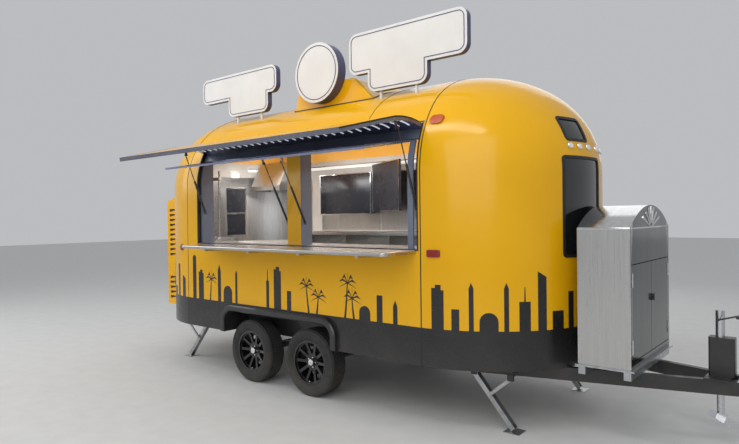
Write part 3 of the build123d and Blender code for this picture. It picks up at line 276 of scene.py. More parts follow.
for end, x in wheel_x.items():
    for side_name, side in sides.items():
        tyre = bmesh.new()
        section = [(0, y, radius) for radius, y in tyre_profile]
        section += [(0, -y, radius) for radius, y in reversed(tyre_profile[1:-1])]
        lathe(tyre, section, (0, 1, 0), 72)
        bmesh.ops.remove_doubles(tyre, verts=tyre.verts, dist=0.00001)
        bmesh.ops.recalc_face_normals(tyre, faces=tyre.faces)
        blocks = []
        for face in tyre.faces:
            point = face.calc_center_median()
            if hypot(point.x, point.z) > groove_radius - 0.002 and 0.004 < abs(point.y) < tread_half:
                if not groove[0] < abs(point.y) < groove[1]:
                    blocks.append(face)
        bmesh.ops.inset_individual(tyre, faces=blocks, thickness=0.0016, depth=tread_depth - 0.0007,
                                   use_even_offset=True)
        bmesh.ops.translate(tyre, verts=tyre.verts, vec=(x, side * wheel_y, axle_z))
        corner = f"{end}_{side_name}"
        piece = fitted(f"tyre_{corner}_tread", tyre, f"wheel_{corner}", "tyre", rubber, crease=28)
        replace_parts(piece, f"tyre_{corner}")

# Rims: cast alloy in gloss black lacquer, each held by five plated nuts, with a plated hub
# cap and a short valve. The valve is rubber, but here it is given the same chrome as the nuts.
gloss_black = finish("gloss_black_lacquer", (0.008, 0.008, 0.009), (0.014, 0.014, 0.015), (0.12, 0.24),
                     metal=0.3, coat=0.7, scale=5.0)
chrome = finish("bright_chrome", (0.80, 0.80, 0.82), (0.86, 0.86, 0.87), (0.04, 0.12), metal=1.0, scale=9.0)
dress(gloss_black, *[f"rim_{end}_{side_name}" for end in wheel_x for side_name in sides])
hub_face = 0.0385
nut_circle = 0.0455
nut_count = 5
for end, x in wheel_x.items():
    for side_name, side in sides.items():
        fittings = bmesh.new()
        for index in range(nut_count):
            angle = 2 * pi * index / nut_count + 0.3
            across, up = nut_circle * sin(angle), nut_circle * cos(angle)
            bar(fittings, (across, hub_face - 0.002, up), (across, hub_face + 0.012, up),
                0.0085, 6, 0.0075, 0.0012)
        bar(fittings, (0, 0.060, 0), (0, 0.066, 0), 0.031, 40, 0.028, 0.0015)
        valve = Vector((0, 0.062, -0.183))
        bar(fittings, valve, valve + Vector((0, 0.016, 0.010)), 0.0042, 12, 0.0036, 0.0008)
        for vert in fittings.verts:
            vert.co = Vector((x + vert.co.x, side * (wheel_y + vert.co.y), axle_z + vert.co.z))
        corner = f"{end}_{side_name}"
        fitted(f"wheel_fittings_{corner}", fittings, f"wheel_{corner}", "bright_steel", chrome)

# Wheel flares: pressed black plastic strips round the arches, each screwed to the body along
# its flat top by a row of plated screws.
trim_black = finish("moulded_black", (0.014, 0.014, 0.015), (0.022, 0.022, 0.022), (0.28, 0.42), coat=0.3,
                    relief=0.0003, dust_top=0.5)
dress(trim_black, "wheel_flares")
flare_low, flare_high = box_of("wheel_flares")
screw_margin = 0.15
screw_count = 9
screw_z = flare_high.z - 0.031


def spaced(low, high, count):
    """Even steps from one end to the other."""
    return [low + (high - low) * index / (count - 1) for index in range(count)]


screws = bmesh.new()
for side in (-1, 1):
    for x in spaced(flare_low.x + screw_margin, flare_high.x - screw_margin, screw_count):
        y = side * (flare_high.y - 0.0030)
        bar(screws, (x, y, screw_z), (x, y + side * 0.0029, screw_z), 0.008, 16, 0.006)
fitted("flare_screws", screws, "root", "bright_steel", bright_zinc)

# Floor: boards of phenolic-faced plywood, screwed to the cross members, with a fine pressed
# grip on their top.
plywood = finish("phenolic_plywood", (0.070, 0.045, 0.030), (0.10, 0.065, 0.042), (0.45, 0.62), scale=20.0,
                 relief=0.001)
dress(plywood, "floor")

# Body: moulded panels in yellow gelcoat, two of them domes, with a pale lining inside. The
# inner faces are told from the outer ones by how deep they lie under the outer skin. Above
# the eaves the lining is painted orange and made to glow, as painted warm lamplight on the ceiling.
front_low, front_high = box_of("front_cap")
rear_low, rear_high = box_of("rear_cap")
half_width = -box_of("serving_wall")[0].y
front_axis_x = front_high.x - half_width
rear_axis_x = rear_low.x + half_width
seam_front_x = front_low.x
seam_rear_x = rear_high.x
skirt_z = front_low.z
eaves_z = box_of("far_wall")[1].z
crest_z = box_of("roof")[1].z
shoulder_radius = 0.825
crown_radius = 1.247
shoulder_y = half_width - shoulder_radius
crown_z = crest_z - crown_radius
wall_top_z = crown_z + sqrt((crown_radius - shoulder_radius)**2 - shoulder_y**2)
shoulder_end = atan2(wall_top_z - crown_z, shoulder_y)
wall_run = wall_top_z - skirt_z
shoulder_run = shoulder_radius * shoulder_end
section_run = wall_run + shoulder_run + crown_radius * (pi / 2 - shoulder_end)
outer_skin = 0.030
arch_half = 0.745
arch_top = 0.703


def depth_of(point):
    """How deep a point lies under the body's outer skin."""
    past_axis = max(point.x - front_axis_x, rear_axis_x - point.x, 0)
    out = hypot(past_axis, point.y)
    if point.z < wall_top_z:
        return half_width - out
    if atan2(point.z - crown_z, out) > shoulder_end:
        return crown_radius - hypot(out, point.z - crown_z)
    return shoulder_radius - hypot(out - shoulder_y, point.z - wall_top_z)


def paint(node, material, wanted):
    """Gives a CAD node one more material, on the faces that pass a test of their middle and themselves."""
    mesh = frame["nodes"][node].data
    mesh.materials.append(material)
    for face in mesh.polygons:
        if wanted(face.center - middle, face):
            face.material_index = len(mesh.materials) - 1


yellow = finish("yellow_gelcoat", (0.80, 0.42, 0.005), (0.75, 0.385, 0.004), (0.13, 0.24), coat=0.1,
                scale=1.5, dust_top=0.62, specular=0.3)
pale_lining = finish("pale_lining", (0.62, 0.60, 0.56), (0.70, 0.68, 0.64), (0.25, 0.4), scale=3.0,
                     relief=0.0003)
# Painted warm lamplight: an orange lining that glows though it is no lamp, standing in for the cabin's light
# on the ceiling.
painted_lamplight_lining = finish("painted_lamplight_lining", (0.86, 0.42, 0.06), (0.92, 0.50, 0.11), (0.2, 0.3), scale=2.0, coat=0.4,
                      glow=0.22)
dress(yellow, "front_cap", "rear_cap", "roof", "serving_wall", "far_wall", "entry_door", "hatch",
      "rear_cabinet", "roof_cowl")
for node in ("front_cap", "rear_cap", "serving_wall", "far_wall", "entry_door"):
    paint(node, pale_lining, lambda point, face: depth_of(point) > outer_skin)
# The ceiling inside the roof, and inside the domes above the eaves, gets the painted lamplight.
paint("roof", painted_lamplight_lining, lambda point, face: depth_of(point) > outer_skin)
for node in ("front_cap", "rear_cap"):
    paint(node, painted_lamplight_lining, lambda point, face: face.material_index and point.z > eaves_z)
for node in ("serving_wall", "far_wall"):
    paint(node, black_steel, lambda point, face: abs(point.x) < arch_half + 0.003 and point.z < arch_top
          and abs(face.normal.y) < 0.5)


def skin(run, stand):
    """Distance out from the dome's axis and height, at a run up the section from the skirt."""
    if run < wall_run:
        return half_width + stand, skirt_z + run
    if run < wall_run + shoulder_run:
        angle = (run - wall_run) / shoulder_radius
        reach = shoulder_radius + stand
        return shoulder_y + reach * cos(angle), wall_top_z + reach * sin(angle)
    angle = shoulder_end + (run - wall_run - shoulder_run) / crown_radius
    reach = crown_radius + stand
    return reach * cos(angle), crown_z + reach * sin(angle)


def run_at(z):
    """The run up the section to a height on the wall or shoulder."""
    if z < wall_top_z:
        return z - skirt_z
    return wall_run + shoulder_radius * asin((z - wall_top_z) / shoulder_radius)


def on_body(along, run, side, stand):
    """A point on the body: along it by X, and then round a dome by arc length, and up it by its section."""
    out, z = skin(run, stand)
    for axis_x, way in ((front_axis_x, 1), (rear_axis_x, -1)):
        past_axis = way * (along - axis_x)
        if past_axis > 0:
            angle = past_axis / half_width
            return Vector((axis_x + way * out * sin(angle), side * out * cos(angle), z))
    return Vector((along, side * out, z))


def cut_across(mesh, axis, place):
    """Cuts a mesh in two across an axis, and keeps both halves."""
    point, normal = [0, 0, 0], [0, 0, 0]
    point[axis], normal[axis] = place, 1
    bmesh.ops.bisect_plane(mesh, geom=mesh.verts[:] + mesh.edges[:] + mesh.faces[:], dist=0.00001,
                           plane_co=point, plane_no=normal)


def wrapped(mesh, side, step=0.04):
    """Lays a mesh made flat (along, stand, run) on the body, first cutting it so that it can bend."""
    lengths = [vert.co.x for vert in mesh.verts]
    runs = [vert.co.z for vert in mesh.verts]
    for axis, low, high in ((0, min(lengths), max(lengths)), (2, max(min(runs), wall_run), max(runs))):
        pieces = max(1, int((high - low) / step) + 1)
        for place in spaced(low, high, pieces + 1)[1:-1]:
            if axis == 2 or not rear_axis_x < place < front_axis_x:
                cut_across(mesh, axis, place)
    for vert in mesh.verts:
        vert.co = on_body(vert.co.x, vert.co.z, side, vert.co.y)
    return mesh


def strip(mesh, along, run, stand):
    """A flat strip between two lengths and two runs, ready to be wrapped."""
    slab(mesh, (along[0], stand[0], run[0]), (along[1], stand[1], run[1]))


def laid(name, side, strips, slot, material, body="root", swing=None):
    """One piece of strips laid on the body. Each strip has its two lengths, two runs and two stands."""
    mesh = bmesh.new()
    for along, run, stand in strips:
        strip(mesh, along, run, stand)
    wrapped(mesh, side)
    if swing:
        bmesh.ops.transform(mesh, matrix=swing, verts=mesh.verts)
    return fitted(name, mesh, body, slot, material)


# Panel seams: a black bonding bead fills the joint where two mouldings meet, at each dome,
# across the roof near the front, and along the eaves on the far side.
seal_black = finish("black_seal", (0.010, 0.010, 0.010), (0.018, 0.018, 0.018), (0.45, 0.6), scale=30.0,
                    relief=0.0003)
eaves_run = run_at(eaves_z)
for name, x, half, foot in (("front_seam", seam_front_x, 0.0045, 0.0), ("rear_seam", seam_rear_x, 0.003, 0.0),
                            ("roof_seam", 1.05, 0.0018, eaves_run)):
    bead = bmesh.new()
    for side in (-1, 1):
        half_bead = bmesh.new()
        strip(half_bead, (x - half, x + half), (foot, section_run), (-0.001, 0.0022))
        half_data = bpy.data.meshes.new("half_bead")
        wrapped(half_bead, side).to_mesh(half_data)
        half_bead.free()
        bead.from_mesh(half_data)
        bpy.data.meshes.remove(half_data)
    bmesh.ops.remove_doubles(bead, verts=bead.verts, dist=0.0002)
    fitted(name, bead, "root", "black_plastic", seal_black)
eaves_bead = ((seam_rear_x, seam_front_x), (eaves_run - 0.002, eaves_run + 0.002), (-0.001, 0.002))
laid("eaves_seam", 1, [eaves_bead], "black_plastic", seal_black)

# Band and skyline: cut black vinyl laid on the gelcoat, a band along the skirt with towers,
# domes and palms standing on it. The far side's door carries its own piece.
vinyl = finish("black_vinyl", (0.012, 0.012, 0.013), (0.020, 0.020, 0.021), (0.22, 0.34), scale=3.0,
               relief=0.0002, dust_top=0.7)
vinyl_stand = (0.0002, 0.0012)
band_top = 0.300
arch_run = 0.222
nose_along = front_axis_x + half_width * pi / 2
tail_along = rear_axis_x - half_width * pi / 2


def thickened(mesh, faces, thick):
    """Draws faces out across the trailer."""
    made = bmesh.ops.extrude_face_region(mesh, geom=faces)["geom"]
    moved = [item for item in made if isinstance(item, bmesh.types.BMVert)]
    bmesh.ops.translate(mesh, verts=moved, vec=(0, thick, 0))


def outline(mesh, points, stand=vinyl_stand):
    """A flat cut-out from its corners, along and run, with the vinyl's thickness."""
    face = mesh.faces.new([mesh.verts.new((along, stand[0], run)) for along, run in points])
    thickened(mesh, [face], stand[1] - stand[0])


def tower(mesh, along, half, top, cap):
    """A tower: flat, stepped, slanted, pointed, domed or with a mast."""
    points = [(along - half, band_top - 0.002), (along + half, band_top - 0.002), (along + half, top)]
    if cap == "step":
        points += [(along + half * 0.55, top), (along + half * 0.55, top + half * 0.8),
                   (along - half * 0.4, top + half * 0.8), (along - half * 0.4, top + half * 0.3),
                   (along - half, top + half * 0.3)]
    elif cap == "slant":
        points += [(along - half, top + half * 1.2)]
    elif cap == "point":
        points += [(along, top + half * 2.4), (along - half, top)]
    elif cap == "mast":
        points += [(along + 0.006, top), (along + 0.003, top + 0.11), (along - 0.003, top + 0.11),
                   (along - 0.006, top), (along - half, top)]
    elif cap == "dome":
        arc = spaced(0, pi, 11)[1:-1]
        points += [(along + half * cos(angle), top + half * sin(angle)) for angle in arc]
        points += [(along - half, top)]
    else:
        points += [(along - half, top)]
    outline(mesh, points)


def palm(mesh, along, top, lean):
    """A palm: a leaning trunk and seven drooping fronds."""
    bend_along, bend_run = along + lean * 0.6, (top + band_top) / 2
    outline(mesh, [(along - 0.011, band_top - 0.002), (along + 0.011, band_top - 0.002),
                   (bend_along + 0.008, bend_run), (along + lean + 0.005, top),
                   (along + lean - 0.005, top), (bend_along - 0.008, bend_run)])
    for index, angle in enumerate((-100, -60, -25, 10, 45, 80, 115)):
        aim = radians(angle - 8)
        tip = (along + lean + 0.105 * sin(aim), top + 0.075 * cos(aim) - 0.022)
        bend = (along + lean + 0.062 * sin(aim), top + 0.085 * cos(aim) + 0.006)
        under = (along + lean + 0.055 * sin(aim), top + 0.060 * cos(aim) - 0.004)
        level = vinyl_stand[1] + 0.0001 * (index + 1)
        outline(mesh, [(along + lean, top - 0.004), under, tip, bend, (along + lean, top + 0.006)],
                (vinyl_stand[0], level))


skyline = {     # along, half width, top above the skirt, cap
    "serving": (
        (-1.93, 0.028, 0.58, "point"), (-1.80, 0.046, 0.40, "flat"), (-1.66, 0.026, 0.66, "flat"),
        (-1.52, 0.034, 0.50, "slant"), (-1.30, 0.030, 0.74, "dome"), (-1.18, 0.044, 0.58, "step"),
        (-0.86, 0.026, 0.62, "point"), (-0.72, 0.070, 0.40, "dome"), (-0.58, 0.016, 0.60, "point"),
        (-0.10, 0.020, 0.56, "mast"), (0.04, 0.050, 0.66, "step"), (0.20, 0.028, 0.48, "flat"),
        (1.12, 0.060, 0.36, "dome"), (1.28, 0.030, 0.52, "flat"), (1.44, 0.022, 0.44, "point"),
        (1.83, 0.050, 0.60, "step"), (1.97, 0.030, 0.46, "flat"), (2.09, 0.018, 0.62, "point"),
        (2.22, 0.070, 0.37, "dome"), (2.35, 0.018, 0.62, "point"), (2.49, 0.044, 0.52, "mast"),
        (2.63, 0.036, 0.70, "slant"), (2.77, 0.052, 0.44, "flat"), (2.90, 0.028, 0.58, "flat"),
        (3.03, 0.042, 0.49, "step"), (3.17, 0.030, 0.64, "point")),
    "far": (
        (-1.92, 0.040, 0.44, "flat"), (-1.75, 0.030, 0.60, "slant"), (-1.58, 0.050, 0.50, "step"),
        (-1.30, 0.028, 0.68, "mast"), (-0.60, 0.018, 0.62, "point"), (-0.44, 0.074, 0.42, "dome"),
        (-0.28, 0.018, 0.62, "point"), (0.02, 0.040, 0.54, "slant"), (0.18, 0.026, 0.66, "flat"),
        (0.34, 0.050, 0.46, "step"), (0.62, 0.022, 0.56, "point"), (1.75, 0.034, 0.48, "flat"),
        (1.90, 0.056, 0.58, "mast"), (2.05, 0.030, 0.44, "point"), (2.20, 0.050, 0.50, "step"),
        (2.37, 0.070, 0.38, "dome"), (2.54, 0.032, 0.62, "slant"), (2.70, 0.048, 0.46, "flat"),
        (2.86, 0.026, 0.56, "point"), (3.02, 0.044, 0.42, "step"), (3.16, 0.028, 0.52, "flat")),
}
palms = {       # along, top above the skirt, lean
    "serving": ((0.90, 0.60, 0.03), (1.00, 0.47, -0.02), (-1.02, 0.52, 0.02), (0.46, 0.54, -0.03),
                (0.56, 0.45, 0.02)),
    "far": ((-0.96, 0.54, -0.03), (-1.10, 0.46, 0.02), (0.78, 0.50, 0.01)),
}
door_low, door_high = box_of("entry_door")
door_foot = door_low.z - skirt_z
door_room = 0.012
door_span = (door_low.x - door_room, door_high.x + door_room)
cabinet_low, cabinet_high = box_of("rear_cabinet")
cabinet_room = 0.006
cabinet_along = rear_axis_x - half_width * acos((cabinet_high.y + cabinet_room) / half_width)
under_cabinet = ((tail_along, cabinet_along), (0, cabinet_low.z - skirt_z - cabinet_room))
behind_arch = ((cabinet_along, -arch_half), (0, band_top))
over_arch = ((-arch_half, arch_half), (arch_run, band_top))
bands = {       # two lengths, two runs
    "serving": (under_cabinet, behind_arch, over_arch, ((arch_half, nose_along), (0, band_top))),
    "far": (under_cabinet, behind_arch, over_arch, ((arch_half, door_span[0]), (0, band_top)),
            (door_span, (0, door_foot - door_room)), ((door_span[1], nose_along), (0, band_top))),
}
for side_name, side in sides.items():
    for index, (along, run) in enumerate(bands[side_name]):
        laid(f"band_{side_name}_{index + 1}", side, [(along, run, vinyl_stand)], "black_plastic", vinyl)
    sheet = bmesh.new()
    for shape in skyline[side_name]:
        tower(sheet, *shape)
    for shape in palms[side_name]:
        palm(sheet, *shape)
    fitted(f"skyline_{side_name}", wrapped(sheet, side), "root", "black_plastic", vinyl)
door_piece = ((door_low.x + 0.020, door_high.x - 0.006), (door_foot + 0.004, band_top), vinyl_stand)
laid("door_band", 1, [door_piece], "black_plastic", vinyl, "door")

# Front windows: dark acrylic panes bonded in the dome, each behind a black rubber gasket that
# is an extruded section. A yellow moulded panel closes the far part of each opening.
tinted = finish("tinted_pane", (0.010, 0.012, 0.015), (0.016, 0.019, 0.022), (0.02, 0.06), coat=0.5,
                scale=2.0, clear=0.5)
dress(tinted, "front_windows", "entry_door_window")
gasket_bed = 0.002      # how far a gasket's foot lies under the skin
gasket_lap = 0.008      # how far a gasket lies over its pane
infill_lap = 0.006      # how far a panel lies over the dome


def frame_ring(mesh, low, high, width, thick, corner, project):
    """A rounded-rectangle ring in a plane, extruded and then carried to its place by a function."""
    corners = ((high[0] - corner, high[1] - corner, 0), (low[0] + corner, high[1] - corner, 90),
               (low[0] + corner, low[1] + corner, 180), (high[0] - corner, low[1] + corner, 270))
    rings = []
    for radius in (corner, corner + width):
        points = []
        for centre_x, centre_z, start in corners:
            for turn in spaced(start, start + 90, 5):
                angle = radians(turn)
                points.append((centre_x + radius * cos(angle), centre_z + radius * sin(angle)))
        rings.append(points)
    count = len(rings[0])
    spans = []
    for index in range(count):
        first, second = rings[0][index], rings[0][(index + 1) % count]
        pieces = max(1, int(hypot(second[0] - first[0], second[1] - first[1]) / 0.03))
        spans += [(index, step / pieces) for step in range(pieces)]
    rows = []
    for ring, stand in ((0, 0), (0, thick), (1, thick), (1, 0)):
        row = []
        for index, share in spans:
            first, second = rings[ring][index], rings[ring][(index + 1) % count]
            row.append(mesh.verts.new(project(first[0] + (second[0] - first[0]) * share,
                                              first[1] + (second[1] - first[1]) * share, stand)))
        rows.append(row)
    edge_rows = [[mesh.edges.new(pair) for pair in zip(row, row[1:] + row[:1])] for row in rows]
    for first, second in zip(edge_rows, edge_rows[1:] + edge_rows[:1]):
        bmesh.ops.bridge_loops(mesh, edges=first + second)


def on_nose(y, z, stand):
    """A point on the front dome ahead of a place across the trailer, from a gasket's foot outwards."""
    out, level = skin(run_at(z), stand - gasket_bed)
    return Vector((front_axis_x + sqrt(max(out**2 - y**2, 0.0)), y, level))


def on_roof(x, y, stand):
    """A point on the roof's crown above a place in plan, from a gasket's foot outwards."""
    return Vector((x, y, crown_z + sqrt((crown_radius - gasket_bed + stand)**2 - y**2)))


nose_openings = (       # gasket, half the opening's width, the pane's far edge, low and high
    ("main_gasket", 0.430, 0.060, 1.330, 2.085),
    ("upper_gasket", 0.350, -0.090, 2.228, 2.400))
infill = bmesh.new()
for name, half, pane_end, low_z, high_z in nose_openings:
    slab(infill, (pane_end, -0.0015, low_z - infill_lap), (half + infill_lap, 0.003, high_z + infill_lap))
    gasket = bmesh.new()
    frame_ring(gasket, (gasket_lap - half, low_z + gasket_lap), (pane_end - gasket_lap, high_z - gasket_lap),
               0.022, 0.007, 0.012, on_nose)
    fitted(name, gasket, "root", "black_plastic", seal_black)
panel_cuts = ((0, -0.10, 0.44, 19), (2, 1.32, 2.41, 31))       # axis, first, last and count, so that it bends
for axis, low, high, count in panel_cuts:
    for place in spaced(low, high, count):
        cut_across(infill, axis, place)
for vert in infill.verts:
    vert.co = on_nose(vert.co.x, vert.co.z, vert.co.y)
fitted("window_infill", infill, "root", "yellow_moulding", yellow)
cowl_low, cowl_high = box_of("roof_cowl")
bead = bmesh.new()
frame_ring(bead, (cowl_low.x - 0.001, cowl_low.y - 0.001), (cowl_high.x + 0.001, cowl_high.y + 0.001),
           0.009, 0.009, 0.020, on_roof)
fitted("cowl_bead", bead, "root", "black_plastic", seal_black)

# Marker lamps: moulded lenses screwed to the body, clear ones with chrome rims across the
# front, amber ones at the sides, and red ones at the tail and low on the sides. The lens set
# stands for the solid lamps, with lower red reflectors near the front.
clear_lens = finish("clear_lens", (0.72, 0.72, 0.70), (0.85, 0.85, 0.84), (0.08, 0.2), coat=0.6, scale=180.0,
                    relief=0.002)
amber_lens = finish("amber_lens", (0.44, 0.060, 0.008), (0.52, 0.09, 0.012), (0.12, 0.22), coat=0.3,
                    scale=160.0, relief=0.001)
red_lens = finish("red_lens", (0.20, 0.010, 0.010), (0.26, 0.014, 0.012), (0.12, 0.22), coat=0.3, scale=160.0,
                  relief=0.001)
reflector_z = 1.358
reflector_share = 0.54      # the front reflectors' height as a share of their solids'


def solid_of(node):
    """A copy of a CAD node's mesh, about the trailer's middle."""
    mesh = bmesh.new()
    mesh.from_mesh(frame["nodes"][node].data)
    bmesh.ops.translate(mesh, verts=mesh.verts, vec=-middle)
    return mesh


lenses = solid_of("lamps")
bmesh.ops.remove_doubles(lenses, verts=lenses.verts, dist=0.00001)
reflectors = [vert for vert in lenses.verts
              if seam_front_x < vert.co.x < front_axis_x + 0.3 and vert.co.z < eaves_z - 0.5]
bmesh.ops.scale(lenses, verts=reflectors, vec=(1, 1, reflector_share),
                space=Matrix.Translation((0, 0, -reflector_z)))
for face in lenses.faces:
    point = face.calc_center_median()
    face.material_index = 0 if point.x > front_axis_x + 0.5 else 1 if point.z > eaves_z - 0.1 else 2
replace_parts(fitted("lamp_lenses", lenses, "root", "lamp_lens", clear_lens, amber_lens, red_lens), "lamps")
clear_lamp_y = (0.095, 0.225, 0.335)
clear_lamp_z = 2.178
rim_radius = 0.0255
rim_wire = 0.0045
rims = bmesh.new()
for y in clear_lamp_y:
    for side in (-1, 1):
        centre = on_nose(side * y, clear_lamp_z, 0.004)
        aim = (on_nose(side * y, clear_lamp_z, 0.05) - on_nose(side * y, clear_lamp_z, 0.0)).normalized()
        turn = aim.to_track_quat("Z", "Y").to_matrix().to_4x4()
        section = [(rim_radius + rim_wire * cos(angle), 0, rim_wire * sin(angle))
                   for angle in spaced(0, 2 * pi, 9)[:-1]]
        lathe(rims, section, (0, 0, 1), 32)
        ring = [vert for vert in rims.verts if not vert.tag]
        bmesh.ops.transform(rims, matrix=Matrix.Translation(centre) @ turn, verts=ring)
        for vert in ring:
            vert.tag = True
bmesh.ops.remove_doubles(rims, verts=rims.verts, dist=0.00001)
fitted("lamp_rims", rims, "root", "bright_steel", chrome)

# Opening frame and pillar: folded steel in satin grey-blue, with a black rubber lip round the
# opening's edge. The pillar's outer strip is painted yellow like the body.
frame_paint = finish("grey_blue_paint", (0.15, 0.18, 0.25), (0.20, 0.23, 0.31), (0.28, 0.45), coat=0.2,
                     scale=4.0, stretch=(1, 1, 0.2))
dress(frame_paint, "opening_frame")
opening_low_z = 1.385
opening_x = (-1.225, 1.660)
opening_foot = run_at(opening_low_z)
lip_width = 0.010
lip_stand = (-0.038, 0.004)
lip_run = (opening_foot - lip_width, eaves_run)
laid("opening_lip_ends", -1, [((opening_x[0] - lip_width, opening_x[0] + 0.002), lip_run, lip_stand),
                              ((opening_x[1] - 0.002, opening_x[1] + lip_width), lip_run, lip_stand)],
     "black_plastic", seal_black)
laid("opening_lip_sill", -1, [(opening_x, (opening_foot - lip_width, opening_foot + 0.0015), lip_stand)],
     "black_plastic", seal_black)
paint("opening_frame", yellow, lambda point, face: 0.049 < point.x < 0.237 and face.normal.y < -0.7
      and 1.40 < point.z < 2.26)
laid("front_post_cover", -1, [((1.536, 1.588), (opening_foot + 0.001, run_at(2.275)), (-0.066, -0.050))],
     "frame_metal", frame_paint)

# Hatch: the piece of moulding cut from the opening, lined with navy sheet and edged with a
# black rubber strip, and hung on a long hinge of plated knuckles under a rubber cover. A row
# of white lamp sticks is fixed across its lining where it curves up to the hinge.
navy_lining = finish("navy_lining", (0.030, 0.034, 0.110), (0.048, 0.052, 0.150), (0.12, 0.22), coat=0.5,
                     scale=2.0)
hatch_rim = finish("hatch_rim", (0.16, 0.17, 0.22), (0.22, 0.23, 0.29), (0.22, 0.34), metal=0.6, scale=8.0,
                   stretch=(0.2, 1, 1))
white_stick = finish("lamp_stick", (0.60, 0.62, 0.70), (0.66, 0.68, 0.76), (0.3, 0.4), scale=30.0, glow=0.75)


def joint_of(name):
    """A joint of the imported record."""
    return next(joint for joint in frame["record"]["behaviour"]["joints"] if joint["name"] == name)


def pin_of(name):
    """Where a joint's pin is, about the trailer's middle."""
    return Vector(joint_of(name)["pos_m"]) - middle


def steel_knuckles(pin, across, radius, *nodes):
    """Plates the faces about a hinge pin, seen along the pin."""
    def near_pin(point, face):
        return hypot(*[point[axis] - pin[axis] for axis in across]) < radius

    for node in nodes:
        paint(node, bright_zinc, near_pin)


hatch_pin = pin_of("hatch_hinge")
hatch_swing = Matrix.Rotation(radians(joint_of("hatch_hinge")["range_deg"][1]), 4, "X")
shutting = Matrix.Translation(hatch_pin) @ hatch_swing @ Matrix.Translation(-hatch_pin)
opening_out = shutting.inverted()
paint("hatch", navy_lining, lambda point, face: depth_of(shutting @ point) > outer_skin)
paint("hatch", hatch_rim, lambda point, face: 0.005 < depth_of(shutting @ point) <= outer_skin)
hatch_x = (-1.218, 1.653)
stick_count = 29
stick_half = 0.007
stick_lean = 0.016
stick_margin = 0.05
stick_foot, stick_head = run_at(2.150), run_at(2.305)
sticks = bmesh.new()
for along in spaced(hatch_x[0] + stick_margin, hatch_x[1] - stick_margin, stick_count):
    foot, head = along + stick_lean, along - stick_lean
    outline(sticks, [(foot - stick_half, stick_foot), (foot + stick_half, stick_foot),
                     (head + stick_half, stick_head), (head - stick_half, stick_head)], (-0.0385, -0.0345))
wrapped(sticks, -1)
bmesh.ops.transform(sticks, matrix=opening_out, verts=sticks.verts)
fitted("hatch_lamp_sticks", sticks, "hatch", "sign_face", white_stick)
hatch_foot = run_at(1.393)
edging_stand = (-0.010, 0.0018)
edging = [(hatch_x, (hatch_foot, hatch_foot + 0.010), edging_stand)]
edging += [((x - 0.002, x + 0.002), (hatch_foot, run_at(2.355)), edging_stand) for x in hatch_x]
laid("hatch_edging", -1, edging, "black_plastic", seal_black, "hatch", opening_out)
pin_run = run_at(hatch_pin.z)
hinge_cover = ((opening_x[0] - lip_width, opening_x[1] + lip_width), (pin_run + 0.010, pin_run + 0.021),
               (-0.001, 0.003))
laid("hatch_hinge_cover", -1, [hinge_cover], "black_plastic", seal_black)
steel_knuckles(hatch_pin, (1, 2), 0.0076, "roof", "hatch")

# Glazed flap: an anodised frame hung inside the hatch, brushed along its length, with panes of
# blue-grey glass held in its grooves.
anodised = finish("anodised_aluminium", (0.36, 0.39, 0.58), (0.46, 0.49, 0.66), (0.2, 0.34), metal=0.8,
                  scale=30.0, stretch=(0.05, 1, 1), relief=0.0001)
blue_glass = finish("blue_glass", (0.20, 0.24, 0.42), (0.26, 0.30, 0.50), (0.02, 0.06), coat=0.4, scale=3.0,
                    clear=0.7)
dress(anodised, "flap_frame")
dress(blue_glass, "flap_glass")

# Gas struts: steel cylinders and rods in black lacquer, pinned to the opening frame below and
# to a lug on the panel above.
strut_black = finish("strut_lacquer", (0.010, 0.010, 0.010), (0.018, 0.018, 0.018), (0.2, 0.32), coat=0.4,
                     scale=12.0)
dress(strut_black, *[f"{panel}_strut_{end}_{half}" for panel in ("hatch", "flap") for end in ("rear", "front")
                     for half in ("body", "rod")])

# Shelf, counters and hood: folded stainless sheet, brushed along its length on the shelf and
# counters and upright on the hood. The spit grill is plated.
stainless = finish("brushed_stainless", (0.54, 0.535, 0.52), (0.60, 0.595, 0.58), (0.24, 0.32), metal=1.0,
                   scale=60.0, stretch=(0.02, 1, 1))
upright_stainless = finish("upright_stainless", (0.50, 0.50, 0.495), (0.56, 0.555, 0.545), (0.26, 0.34),
                           metal=1.0, scale=60.0, stretch=(1, 1, 0.02), relief=0.00005)
dress(stainless, "serving_shelf", "serving_counter", "back_counter")
dress(upright_stainless, "hood")
dress(bright_zinc, "spit_grill")

# Inside: a light strip along the far wall under the eaves, stainless cladding sheets screwed to
# the lining, a two-door oven front at the rear, lamp boxes, and two dark menu screens, the
# second turned towards the counter.
strip_light = finish("strip_light", (0.62, 0.61, 0.58), (0.68, 0.67, 0.64), (0.4, 0.5), scale=20.0, glow=0.8)
screen_glass = finish("dark_screen", (0.016, 0.018, 0.026), (0.024, 0.027, 0.036), (0.22, 0.30), scale=3.0)
lining_stand = -0.0405


def on_lining(thick, lift=0.0):
    """How far the two faces of a sheet on the lining stand out from the body's skin."""
    return lining_stand - thick, lining_stand - lift


